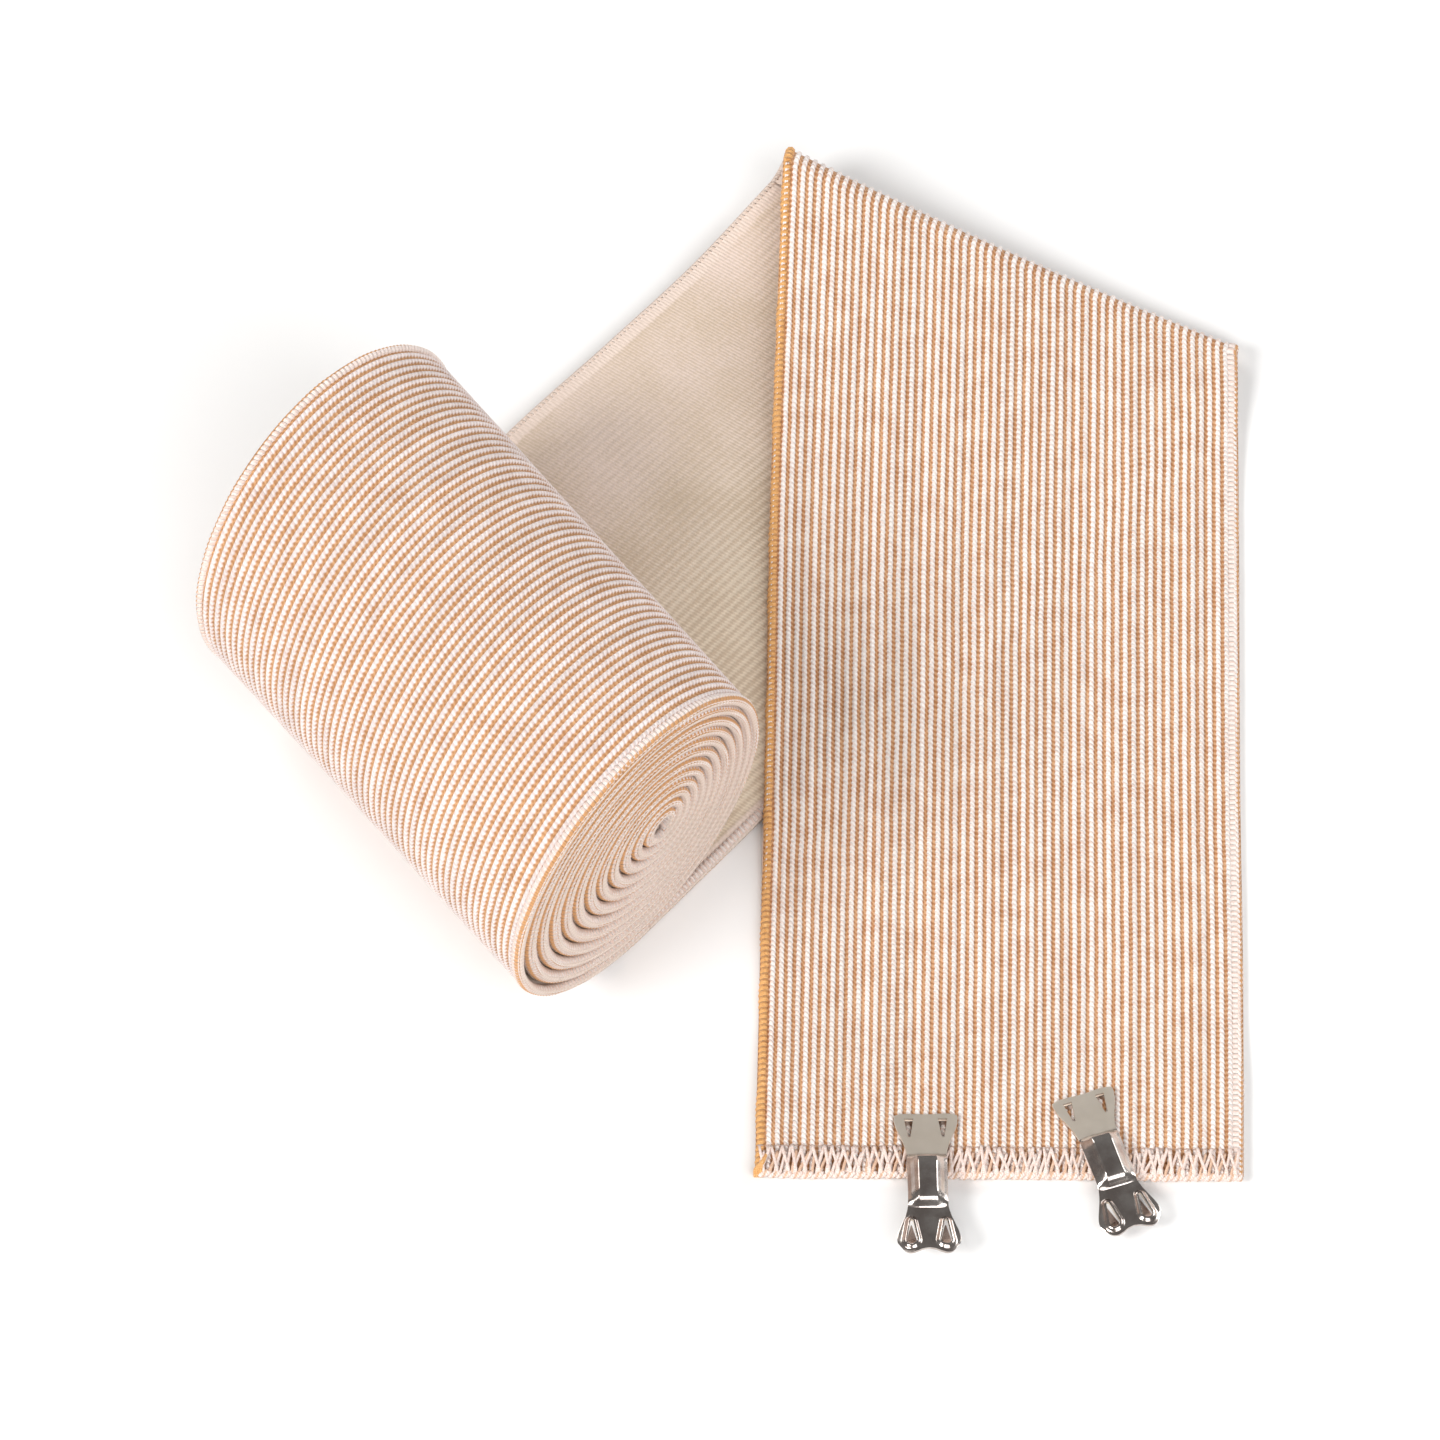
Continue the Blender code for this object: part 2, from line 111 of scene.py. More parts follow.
# The first row is set back, unlike the part's, to round the upper plate's corners
CLIP_ROWS = (
    dict(along=0.000, half_width=0.97, rise=0.00, side_drop=0.00, setback=-0.22),
    dict(along=0.045, half_width=1.00, rise=0.00, side_drop=0.00, setback=0.0),
    dict(along=0.120, half_width=0.90, rise=0.00, side_drop=0.00, setback=0.0),
    dict(along=0.190, half_width=0.75, rise=0.00, side_drop=0.00, setback=0.0),
    dict(along=0.250, half_width=0.65, rise=0.00, side_drop=0.00, setback=0.0),
    dict(along=0.305, half_width=0.61, rise=0.00, side_drop=0.00, setback=0.0),
    dict(along=0.340, half_width=0.60, rise=0.80, side_drop=0.60, setback=0.0),
    dict(along=0.385, half_width=0.60, rise=1.00, side_drop=0.78, setback=0.0),
    dict(along=0.490, half_width=0.59, rise=1.00, side_drop=0.78, setback=0.0),
    dict(along=0.600, half_width=0.58, rise=1.00, side_drop=0.78, setback=0.0),
    dict(along=0.645, half_width=0.59, rise=0.80, side_drop=0.60, setback=0.0),
    dict(along=0.680, half_width=0.62, rise=0.05, side_drop=0.05, setback=0.0),
    dict(along=0.740, half_width=0.70, rise=0.00, side_drop=0.08, setback=0.0),
    dict(along=0.810, half_width=0.85, rise=0.00, side_drop=0.15, setback=0.0),
    dict(along=0.880, half_width=0.96, rise=0.00, side_drop=0.20, setback=0.2),
    dict(along=0.950, half_width=0.98, rise=0.00, side_drop=0.24, setback=0.6),
    dict(along=1.000, half_width=0.90, rise=0.00, side_drop=0.28, setback=1.0),
)
CLIP_COLUMNS = (
    dict(place=0.00, drop=0.00, setback=0.075),
    dict(place=0.22, drop=0.00, setback=0.055),
    dict(place=0.45, drop=0.00, setback=0.010),
    dict(place=0.62, drop=0.30, setback=0.000),
    dict(place=0.82, drop=0.70, setback=0.045),
    dict(place=1.00, drop=1.00, setback=0.170),
)
CLIPS = (
    dict(name="clip_upright", across=0.353, past_end=0.106, turn=0.6),
    dict(name="clip_slanted", across=0.722, past_end=-0.068, turn=18.0),
)

# Weave: a cord's foot, shoulder and crown are shares of the rib's width from its middle
RIB_COUNT = 56
RIB_PITCH = CLOTH_WIDTH / RIB_COUNT
CORD_HALF_SHARE = 0.31
CORD_SHOULDER = 0.22
CORD_CROWN = 0.08
CORD_RISE = 0.42 * MM
GROOVE_LEVEL = 0.28 * MM
BACK_LEVEL = 0.50 * MM
BACK_RIDGE = 0.04 * MM
TWIST_LENGTH = 0.88 * MM
SLOW_SWELL = 0.05 * MM
QUICK_SWELL = 0.02 * MM
TABLE_LEVEL = 0.01 * MM

# Stations where one piece of cloth ends and the next begins
ROLL_SURFACE_START = 10.85
TAIL_START = 12.0
BEND_START = 13.0
STRIP_START = 14.0
CLOTH_END = 15.0

# Edge stitching: the thread turns orange at a station, and the bead widens as the roll opens
THREAD_CHANGE = 13.45
ROLLED_EDGE_SHARE = 0.45
EDGE_OPENING = 0.35
BEAD_SIDES = 8
BEAD_SWELL = 0.09
BEAD_SWAY = 0.10 * MM
PALE_STITCH = 0.9 * MM
ORANGE_STITCH = 1.0 * MM

# Bound end, with the slots of its four threads
STITCH_COUNT = 46
STITCH_DEPTH = 4.3 * MM
STITCHED_SHARE = 0.985
THREAD_RADIUS = 0.24 * MM
CHAIN_RADIUS = 0.29 * MM
LINE_RADIUS = 0.10 * MM
PALE, ORANGE, GREY, TAN = range(4)

# Openings of the clips, their raised rims and their claws
SLOT_LENGTH = 3.3 * MM
SLOT_HALF_WIDE = 0.70 * MM
SLOT_HALF_NARROW = 0.20 * MM
TEARDROP_LENGTH = 3.3 * MM
TEARDROP_LOW_RADIUS = 0.80 * MM
TEARDROP_HIGH_RADIUS = 0.22 * MM
TEARDROP_START = -CLIP_LENGTH / 2 + PUNCH_INSET + 1.15 * MM
RIM_RISE = 0.42 * MM
RIM_OFFSET = 0.10 * MM
RIM_WIDTH = 0.36 * MM
EDGE_ROUNDING = 0.13 * MM
UPPER_CLAW = dict(half_width=0.62 * MM, run=1.2 * MM)
LOWER_CLAW = dict(half_width=0.86 * MM, run=4.6 * MM)
CLAW_TIP = 0.08 * MM
CLAW_DEPTH = 1.75 * MM
CLAW_PLACES = (-1, -0.35, 0.35, 1)
CLAW_SHEET_SHARE = 0.85
# The claws take the polished look, whose darker colour is painted reflection.
CLAW_LOOK = 0.6
PROFILE_STEPS = 1200

# Camera and light
CAMERA_TARGET = np.array([-1.70, -2.56, 0.0]) * MM
CAMERA_ELEVATION = math.radians(60.0)
CAMERA_DISTANCE = 1.2
CAMERA_LENS = 190.2
LIGHTS = (
    dict(name="key", place=(-1.0, -0.60, 1.05), size=0.7, power=17.0, colour=(1.0, 0.985, 0.965)),
    dict(name="back_left", place=(-0.75, 1.1, 1.0), size=0.8, power=6.0, colour=(1.0, 0.99, 0.97)),
    dict(name="front", place=(0.45, -1.1, 1.1), size=1.3, power=16.5, colour=(1.0, 1.0, 1.0)),
    dict(name="right", place=(1.2, 0.7, 0.65), size=0.9, power=9.0, colour=(1.0, 1.0, 1.0)),
)


def heading_vector(angle):
    return np.array([math.cos(angle), math.sin(angle)])


def mix(start, end, share):
    return start + (end - start) * share


def ease(share):
    share = np.clip(share, 0.0, 1.0)
    return share * share * (3 - 2 * share)


def smooth_curve(places, values, at):
    """Read a smooth curve through values, each given at its place."""
    slopes = np.gradient(values, places)
    above = np.clip(np.searchsorted(places, at), 1, len(places) - 1)
    below = above - 1
    span = places[above] - places[below]
    part = (at - places[below]) / span
    start_weight = (1 + 2 * part) * (1 - part) ** 2
    end_weight = part * part * (3 - 2 * part)
    bend = span * (part * (1 - part) ** 2 * slopes[below] - part * part * (1 - part) * slopes[above])
    return values[below] * start_weight + values[above] * end_weight + bend


def read_rows(rows, column, share):
    """Read one column between the rows, as a smooth curve through them."""
    places = np.array([row["share"] for row in rows])
    values = np.array([row[column] for row in rows])
    return smooth_curve(places, values, np.clip(share, places[0], places[-1]))


ACROSS_ROLL = heading_vector(ROLL_HEADING)
ALONG_ROLL = heading_vector(ROLL_HEADING + math.pi / 2)
ALONG_TAIL = heading_vector(TAIL_HEADING)
ACROSS_TAIL = heading_vector(TAIL_HEADING + math.pi / 2)
ALONG_FOLD = heading_vector(FOLD_HEADING)
BEYOND_FOLD = heading_vector(FOLD_HEADING + math.pi / 2)
ALONG_STRIP = heading_vector(STRIP_HEADING)
FAR_CONTACT = ALONG_ROLL * CLOTH_WIDTH + ACROSS_ROLL * ROLL_SLANT
FOLD_LENGTH = FOLD_STRETCH * CLOTH_WIDTH / math.sin(TAIL_HEADING - FOLD_HEADING)
FOLD_NEAR = ALONG_TAIL * TAIL_LENGTH
FOLD_FAR = FOLD_NEAR - ALONG_FOLD * FOLD_LENGTH


def column(values):
    """Give an array a last axis of one, so that it scales plan vectors."""
    return np.asarray(values, float)[..., None]


def fold_radius(across):
    return mix(FOLD_RADIUS_NEAR, FOLD_RADIUS_FAR, across)


def fold_advance(across):
    return ALONG_FOLD * column(FOLD_ADVANCE * math.pi * fold_radius(across))


STRIP_TOP_RIGHT = FOLD_NEAR + fold_advance(0.0)
STRIP_TOP_LEFT = FOLD_FAR + fold_advance(1.0)
STRIP_END_RIGHT = STRIP_TOP_RIGHT + ALONG_STRIP * STRIP_LENGTH
STRIP_END_LEFT = STRIP_END_RIGHT + heading_vector(STRIP_HEADING - math.pi / 2 + END_SKEW) * CLOTH_WIDTH


def with_height(plan, height):
    return np.concatenate([plan, column(height)], axis=-1)


def roll_point(turn, across):
    angle = -math.pi / 2 - 2 * math.pi * (ROLL_TURNS - turn)
    radius = CORE_RADIUS + LAYER_PITCH * turn
    inward = OUTER_RADIUS - radius
    growth = mix(1, FAR_END_GROWTH, across)
    flattening = mix(NEAR_FLATTENING, FAR_FLATTENING, across)
    sideways = growth * (radius * (1 + flattening) * np.cos(angle) + CORE_SHIFT * inward)
    rise = (OUTER_RADIUS + radius * np.sin(angle)) * (1 - flattening) - CORE_DROP * inward
    height = HALF_CLOTH + growth * rise
    lean = mix(NEAR_RIM_LEAN, FAR_RIM_LEAN, across) * (height - HALF_CLOTH)
    plan = FAR_CONTACT * column(across) + ACROSS_ROLL * column(sideways) + ALONG_ROLL * column(lean)
    return with_height(plan, height)


def tail_height(plan):
    across = np.clip(plan @ ACROSS_TAIL / CLOTH_WIDTH, 0.0, 1.0)
    start = across * float(FAR_CONTACT @ ALONG_TAIL)
    end = TAIL_LENGTH - across * FOLD_LENGTH * float(ALONG_FOLD @ ALONG_TAIL)
    share = (plan @ ALONG_TAIL - start) / (end - start)
    return HALF_CLOTH + CLOTH_WIDTH * read_rows(TAIL_ROWS, "lift", share) * across ** 2


def fold_axis(across):
    return mix(FOLD_NEAR, FOLD_FAR, column(across))


def tail_point(share, across):
    bow = ACROSS_TAIL * column(CLOTH_WIDTH * read_rows(TAIL_ROWS, "bow", share) * across)
    plan = mix(FAR_CONTACT * column(across), fold_axis(across), column(share)) + bow
    return with_height(plan, tail_height(plan))


def bend_point(share, across):
    radius = fold_radius(across)
    angle = math.pi * share
    axis = fold_axis(across)
    plan = axis + BEYOND_FOLD * column(radius * np.sin(angle)) + fold_advance(across) * column(share)
    return with_height(plan, tail_height(axis) + radius * (1 - np.cos(angle)))


def strip_height(plan, across, from_end):
    over_tail = ease(1 + plan @ ACROSS_TAIL / STEP_RUN)
    from_fold = (FOLD_NEAR - plan) @ BEYOND_FOLD
    layer_step = CLOTH_THICKNESS + CLEARANCE
    arch = 2 * fold_radius(across) - layer_step
    arch_run = mix(ARCH_RUN_NEAR, ARCH_RUN_FAR, across)
    end_lift = BINDING_LIFT * ease((END_FLAT + END_RAMP - from_end) / END_RAMP)
    return tail_height(plan) + layer_step * over_tail + arch * (1 - ease(from_fold / arch_run)) + end_lift


def strip_point(share, across):
    right = mix(STRIP_TOP_RIGHT, STRIP_END_RIGHT, column(share))
    left = mix(STRIP_TOP_LEFT, STRIP_END_LEFT, column(share))
    bow = mix(read_rows(STRIP_ROWS, "right_bow", share), read_rows(STRIP_ROWS, "left_bow", share), across)
    plan = mix(right, left, column(across)) + np.array([CLOTH_WIDTH, 0.0]) * column(bow)
    from_end = (mix(STRIP_END_RIGHT, STRIP_END_LEFT, column(across)) - plan) @ ALONG_STRIP
    return with_height(plan, strip_height(plan, across, from_end))


def cloth_point(station, across):
    """Points of the cloth's middle surface, in the world."""
    station, across = np.broadcast_arrays(np.asarray(station, float), np.asarray(across, float))
    shapes = (
        roll_point(np.clip(station, 0, TAIL_START), across),
        tail_point(np.clip(station - TAIL_START, 0, 1), across),
        bend_point(np.clip(station - BEND_START, 0, 1), across),
        strip_point(np.clip(station - STRIP_START, 0, 1), across),
    )
    here = [column(station <= limit) > 0 for limit in (TAIL_START, BEND_START, STRIP_START, CLOTH_END)]
    return np.select(here, shapes) + DESIGN_TO_WORLD


def cloth_frame(station, across):
    """The surface's unit vectors along the cloth, across it, and out of its plain face."""
    step = 1e-3
    before = np.clip(station - step, 0, CLOTH_END)
    after = np.clip(station + step, 0, CLOTH_END)
    along = cloth_point(after, across) - cloth_point(before, across)
    sideways = cloth_point(station, across + step) - cloth_point(station, across - step)
    along /= np.linalg.norm(along, axis=-1, keepdims=True)
    normal = np.cross(along, sideways)
    normal /= np.linalg.norm(normal, axis=-1, keepdims=True)
    return along, np.cross(normal, along), normal


STATION_TABLE = np.linspace(0, CLOTH_END, 30001)


def lengths_along(across):
    """The running length of the cloth at each station of the table, at one place across it."""
    points = cloth_point(STATION_TABLE, across)
    steps = np.linalg.norm(np.diff(points, axis=0), axis=1)
    return np.concatenate([[0.0], np.cumsum(steps)])


MIDDLE_LENGTHS = lengths_along(0.5)


def stations_between(first, last, spacing, lengths=MIDDLE_LENGTHS):
    """Stations spaced evenly along the cloth's length."""
    low, high = np.interp([first, last], STATION_TABLE, lengths)
    count = max(2, round((high - low) / spacing) + 1)
    return np.interp(np.linspace(low, high, count), lengths, STATION_TABLE)


def rib_columns(first_rib, last_rib):
    """Places across the ribbed face: groove, foot, shoulders and crown of each rib."""
    left = [-0.5, -CORD_HALF_SHARE, -CORD_SHOULDER, -CORD_CROWN]
    offsets = np.array([*left, CORD_CROWN, CORD_SHOULDER, CORD_HALF_SHARE])
    ribs = np.arange(first_rib, last_rib)[:, None] + 0.5 + offsets[None, :]
    return ribs.ravel() / RIB_COUNT


def cord_relief(across):
    """Height of the ribbed face over the cloth's middle surface."""
    phase = (across * RIB_COUNT) % 1.0 - 0.5
    share = np.clip(np.abs(phase) / CORD_HALF_SHARE, 0, 1)
    return GROOVE_LEVEL + CORD_RISE * np.sqrt(1 - share ** 2)


def back_relief(across):
    """Depth of the plain face under the middle surface, with a low ridge behind each groove."""
    return BACK_LEVEL + BACK_RIDGE * np.cos(2 * math.pi * across * RIB_COUNT)


def waviness(length, across):
    """Small swells of the lying cloth."""
    slow = np.sin(length / 0.021 + 2.1 * across) * np.sin(across * 7.3 + length / 0.047)
    quick = np.sin(length / 0.0093 + 11.0 * across) * np.sin(across * 17.0 - length / 0.031)
    return SLOW_SWELL * slow + QUICK_SWELL * quick


def press_on_table(points):
    """What would reach below the table lies flat on it."""
    points[..., 2] = np.maximum(points[..., 2], TABLE_LEVEL)
    return points


def face_grid(stations, columns, level, side):
    """Points and texture places of one face of the cloth. side is -1 for the ribbed face."""
    rows = stations[:, None]
    places = columns[None, :]
    _, _, normal = cloth_frame(rows + 0 * places, places + 0 * rows)
    middle = cloth_point(rows, places)
    steps = np.linalg.norm(np.diff(middle, axis=0), axis=2)
    start = np.interp(stations[0], STATION_TABLE, MIDDLE_LENGTHS)
    length = start + np.concatenate([np.zeros((1, len(columns))), np.cumsum(steps, axis=0)])
    middle_length = np.interp(rows, STATION_TABLE, MIDDLE_LENGTHS)
    height = side * level(places + 0 * rows) + waviness(middle_length, places)
    points = press_on_table(middle + normal * column(height))
    return points, np.stack([places * CLOTH_WIDTH + 0 * length, length], axis=-1)


def grid_faces(rows, columns, start, flip):
    corner = start + np.arange(rows - 1)[:, None] * columns + np.arange(columns - 1)[None, :]
    quads = np.stack([corner, corner + 1, corner + columns + 1, corner + columns], axis=-1).reshape(-1, 4)
    return quads[:, ::-1] if flip else quads


def rim_faces(first, second):
    """Quads between two rows of point numbers of the same length."""
    return np.stack([first[:-1], first[1:], second[1:], second[:-1]], axis=-1)


def build_mesh(name, points, faces, places, slots):
    """A smooth mesh from points, faces of any size, texture places a point, and a slot a face."""
    mesh = bpy.data.meshes.new(name)
    mesh.from_pydata(points.reshape(-1, 3).tolist(), [], [list(map(int, face)) for face in faces])
    layer = mesh.uv_layers.new(name="weave")
    corners = np.zeros(len(mesh.loops), np.int32)
    mesh.loops.foreach_get("vertex_index", corners)
    layer.data.foreach_set("uv", places.reshape(-1, 2)[corners].astype(np.float32).ravel())
    mesh.polygons.foreach_set("material_index", np.asarray(slots, np.int32))
    mesh.shade_smooth()
    return mesh


def add_piece(name, mesh, materials):
    piece = bpy.data.objects.new(name, mesh)
    bpy.context.scene.collection.objects.link(piece)
    for surface in materials:
        piece.data.materials.append(surface)
    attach(piece, "root")
    return piece


def cloth_mesh(name, stations, ribbed_columns, plain_columns):
    """One length of cloth: ribbed face, plain face and the rims between them, closed."""
    ribbed, ribbed_places = face_grid(stations, ribbed_columns, cord_relief, -1)
    plain, plain_places = face_grid(stations, plain_columns, back_relief, 1)
    rows = len(stations)
    many, few = len(ribbed_columns), len(plain_columns)
    offset = rows * many
    ribbed_faces = grid_faces(rows, many, 0, True)
    plain_faces = grid_faces(rows, few, offset, False)
    ribbed_numbers = np.arange(offset).reshape(rows, many)
    plain_numbers = offset + np.arange(rows * few).reshape(rows, few)
    rims = np.concatenate([
        rim_faces(ribbed_numbers[:, 0], plain_numbers[:, 0])[:, ::-1],
        rim_faces(ribbed_numbers[:, -1], plain_numbers[:, -1]),
    ])
    caps = [
        list(ribbed_numbers[0]) + list(plain_numbers[0][::-1]),
        list(ribbed_numbers[-1][::-1]) + list(plain_numbers[-1]),
    ]
    faces = [*ribbed_faces, *plain_faces, *rims, *caps]
    slots = [0] * len(ribbed_faces) + [1] * (len(plain_faces) + len(rims) + len(caps))
    points = np.concatenate([ribbed.reshape(-1, 3), plain.reshape(-1, 3)])
    places = np.concatenate([ribbed_places.reshape(-1, 2), plain_places.reshape(-1, 2)])
    return build_mesh(name, points, faces, places, slots)


def turn_distance(stations, across):
    """The distance from one turn of the roll to the next, at each station."""
    inner = np.minimum(stations, ROLL_TURNS - 1)
    return np.linalg.norm(cloth_point(inner + 1, across) - cloth_point(inner, across), axis=-1)


def edge_bead_mesh(name, across, half_width, half_height, stitch, first, last):
    """The overlock stitching round one long edge: a bead with a swelling for every stitch.

    The half-height is a share of the distance between two turns in the roll, and a length on the
    open cloth.
    """
    lengths = lengths_along(across)
    stations = stations_between(first, last, stitch / 5, lengths)
    length = np.interp(stations, STATION_TABLE, lengths)[:, None]
    outward = -1 if across < 0.5 else 1
    _, sideways, normal = cloth_frame(stations, across + 0 * stations)
    sideways = sideways * outward
    centre = cloth_point(stations, across + 0 * stations) - sideways * half_width
    sides = BEAD_SIDES
    around = 2 * math.pi * np.arange(sides)[None, :] / sides
    swell = 1 + BEAD_SWELL * np.cos(2 * math.pi * length / stitch + around)
    sway = BEAD_SWAY * (np.sin(length / 0.0037) * np.sin(length / 0.0113) + 0.6 * np.sin(length / 0.0016))
    reach = column(half_width * swell * np.cos(around) + np.maximum(np.cos(around), 0) * sway)
    opened = ease((stations[:, None] - TAIL_START + EDGE_OPENING) / EDGE_OPENING)
    rolled = half_height[0] * turn_distance(stations, across)[:, None]
    rise = column(mix(rolled, half_height[1], opened) * swell * np.sin(around))
    points = press_on_table(centre[:, None, :] + sideways[:, None, :] * reach - normal[:, None, :] * rise)
    rows = len(stations)
    numbers = np.arange(rows * sides).reshape(rows, sides)
    wrapped = np.concatenate([numbers, numbers[:, :1]], axis=1)
    faces = np.concatenate([rim_faces(wrapped[:, side], wrapped[:, side + 1]) for side in range(sides)])
    if outward > 0:
        faces = faces[:, ::-1]
    faces = [*faces, list(numbers[0]), list(numbers[-1][::-1])]
    places = np.stack([around / (2 * math.pi) + 0 * length, length + 0 * around], axis=-1)
    return build_mesh(name, points, faces, places, [0] * len(faces))


def tube_points(path, radius, sides, reference):
    """Rings of points round a path. The reference is a direction that the path never runs along."""
    path = np.asarray(path, float)
    tangent = np.gradient(path, axis=0)
    tangent /= np.linalg.norm(tangent, axis=1, keepdims=True)
    first = np.cross(tangent, reference)
    first /= np.linalg.norm(first, axis=1, keepdims=True)
    second = np.cross(tangent, first)
    around = 2 * math.pi * np.arange(sides) / sides
    radius = np.broadcast_to(np.asarray(radius, float), (len(path),))
    on_first = np.cos(around)[None, :, None] * first[:, None, :]
    on_second = np.sin(around)[None, :, None] * second[:, None, :]
    return path[:, None, :] + (on_first + on_second) * radius[:, None, None]


def tubes_mesh(name, tubes, sides=6):
    """Join tubes, each a path, its radius, its reference direction and its material slot."""
    points, faces, places, slots = [], [], [], []
    start = 0
    for path, radius, reference, slot in tubes:
        rings = press_on_table(tube_points(path, radius, sides, reference))
        rows = len(rings)
        steps = np.linalg.norm(np.diff(np.asarray(path), axis=0), axis=1)
        length = np.concatenate([[0.0], np.cumsum(steps)])[:, None] + 0 * np.arange(sides)[None, :]
        around = np.arange(sides)[None, :] / sides + 0 * length
        numbers = start + np.arange(rows * sides).reshape(rows, sides)
        wrapped = np.concatenate([numbers, numbers[:, :1]], axis=1)
        made = [face for side in range(sides) for face in rim_faces(wrapped[:, side], wrapped[:, side + 1])]
        made += [list(numbers[0]), list(numbers[-1][::-1])]
        points.append(rings.reshape(-1, 3))
        places.append(np.stack([around, length], axis=-1).reshape(-1, 2))
        faces += made
        slots += [slot] * len(made)
        start += rows * sides
    return build_mesh(name, np.concatenate(points), faces, np.concatenate(places), slots)


def smooth_path(corners, count):
    """A smooth curve of count points through a few corners."""
    corners = np.asarray(corners, float)
    steps = np.linalg.norm(np.diff(corners, axis=0), axis=1)
    places = np.concatenate([[0.0], np.cumsum(steps)])
    at = np.linspace(0, places[-1], count)
    return np.stack([smooth_curve(places, values, at) for values in corners.T], axis=-1)


class Shader:
    """A material with helpers that chain its nodes."""

    def __init__(self, name, roughness, metallic=0.0, sheen=0.0, specular=0.5):
        self.material = bpy.data.materials.new(name)
        self.material.use_nodes = True
        self.tree = self.material.node_tree
        self.surface = self.tree.nodes["Principled BSDF"]
        self.surface.inputs["Roughness"].default_value = roughness
        self.surface.inputs["Metallic"].default_value = metallic
        self.surface.inputs["Sheen Weight"].default_value = sheen
        self.surface.inputs["Specular IOR Level"].default_value = specular

    def add(self, kind, inputs=(), **settings):
        node = self.tree.nodes.new(kind)
        for key, value in settings.items():
            setattr(node, key, value)
        for key, value in dict(inputs).items():
            self.feed(value, node.inputs[key])
        return node

    def feed(self, value, socket):
        if isinstance(value, bpy.types.NodeSocket):
            self.tree.links.new(value, socket)
        else:
            socket.default_value = value

    def math(self, operation, first, second=0.0, third=0.0):
        inputs = {0: first, 1: second, 2: third}
        return self.add("ShaderNodeMath", inputs, operation=operation).outputs[0]

    def remap(self, value, low, high, to_low=0.0, to_high=1.0):
        inputs = {"Value": value, "From Min": low, "From Max": high, "To Min": to_low, "To Max": to_high}
        return self.add("ShaderNodeMapRange", inputs, interpolation_type="SMOOTHSTEP").outputs["Result"]

    def blend(self, factor, first, second, mode="MIX"):
        node = self.add("ShaderNodeMix", {"Factor": factor}, data_type="RGBA", blend_type=mode)
        self.feed(first, node.inputs[6])
        self.feed(second, node.inputs[7])
        return node.outputs[2]

    def noise(self, vector, scale, detail=2.0):
        return self.add("ShaderNodeTexNoise", {"Vector": vector, "Scale": scale, "Detail": detail}).outputs[0]

    def wave(self, value, length):
        """A sine between -1 and 1 that repeats over the length."""
        return self.math("SINE", self.math("MULTIPLY", value, 2 * math.pi / length))

    def weave_places(self):
        """The place across the surface and the place along it."""
        places = self.add("ShaderNodeUVMap", uv_map="weave").outputs[0]
        split = self.add("ShaderNodeSeparateXYZ", {0: places})
        return split.outputs[0], split.outputs[1]

    def object_places(self):
        return self.add("ShaderNodeTexCoord").outputs["Object"]

    def bump(self, height, distance, strength=1.0):
        inputs = {"Height": height, "Distance": distance, "Strength": strength}
        self.feed(self.add("ShaderNodeBump", inputs).outputs[0], self.surface.inputs["Normal"])

    def colour(self, value):
        self.feed(value, self.surface.inputs["Base Color"])


def linear(red, green, blue):
    """A screen colour, 0 to 255, as the linear colour that a shader takes."""
    parts = [value / 255 for value in (red, green, blue)]
    return (*[part / 12.92 if part <= 0.04045 else ((part + 0.055) / 1.055) ** 2.4 for part in parts], 1.0)


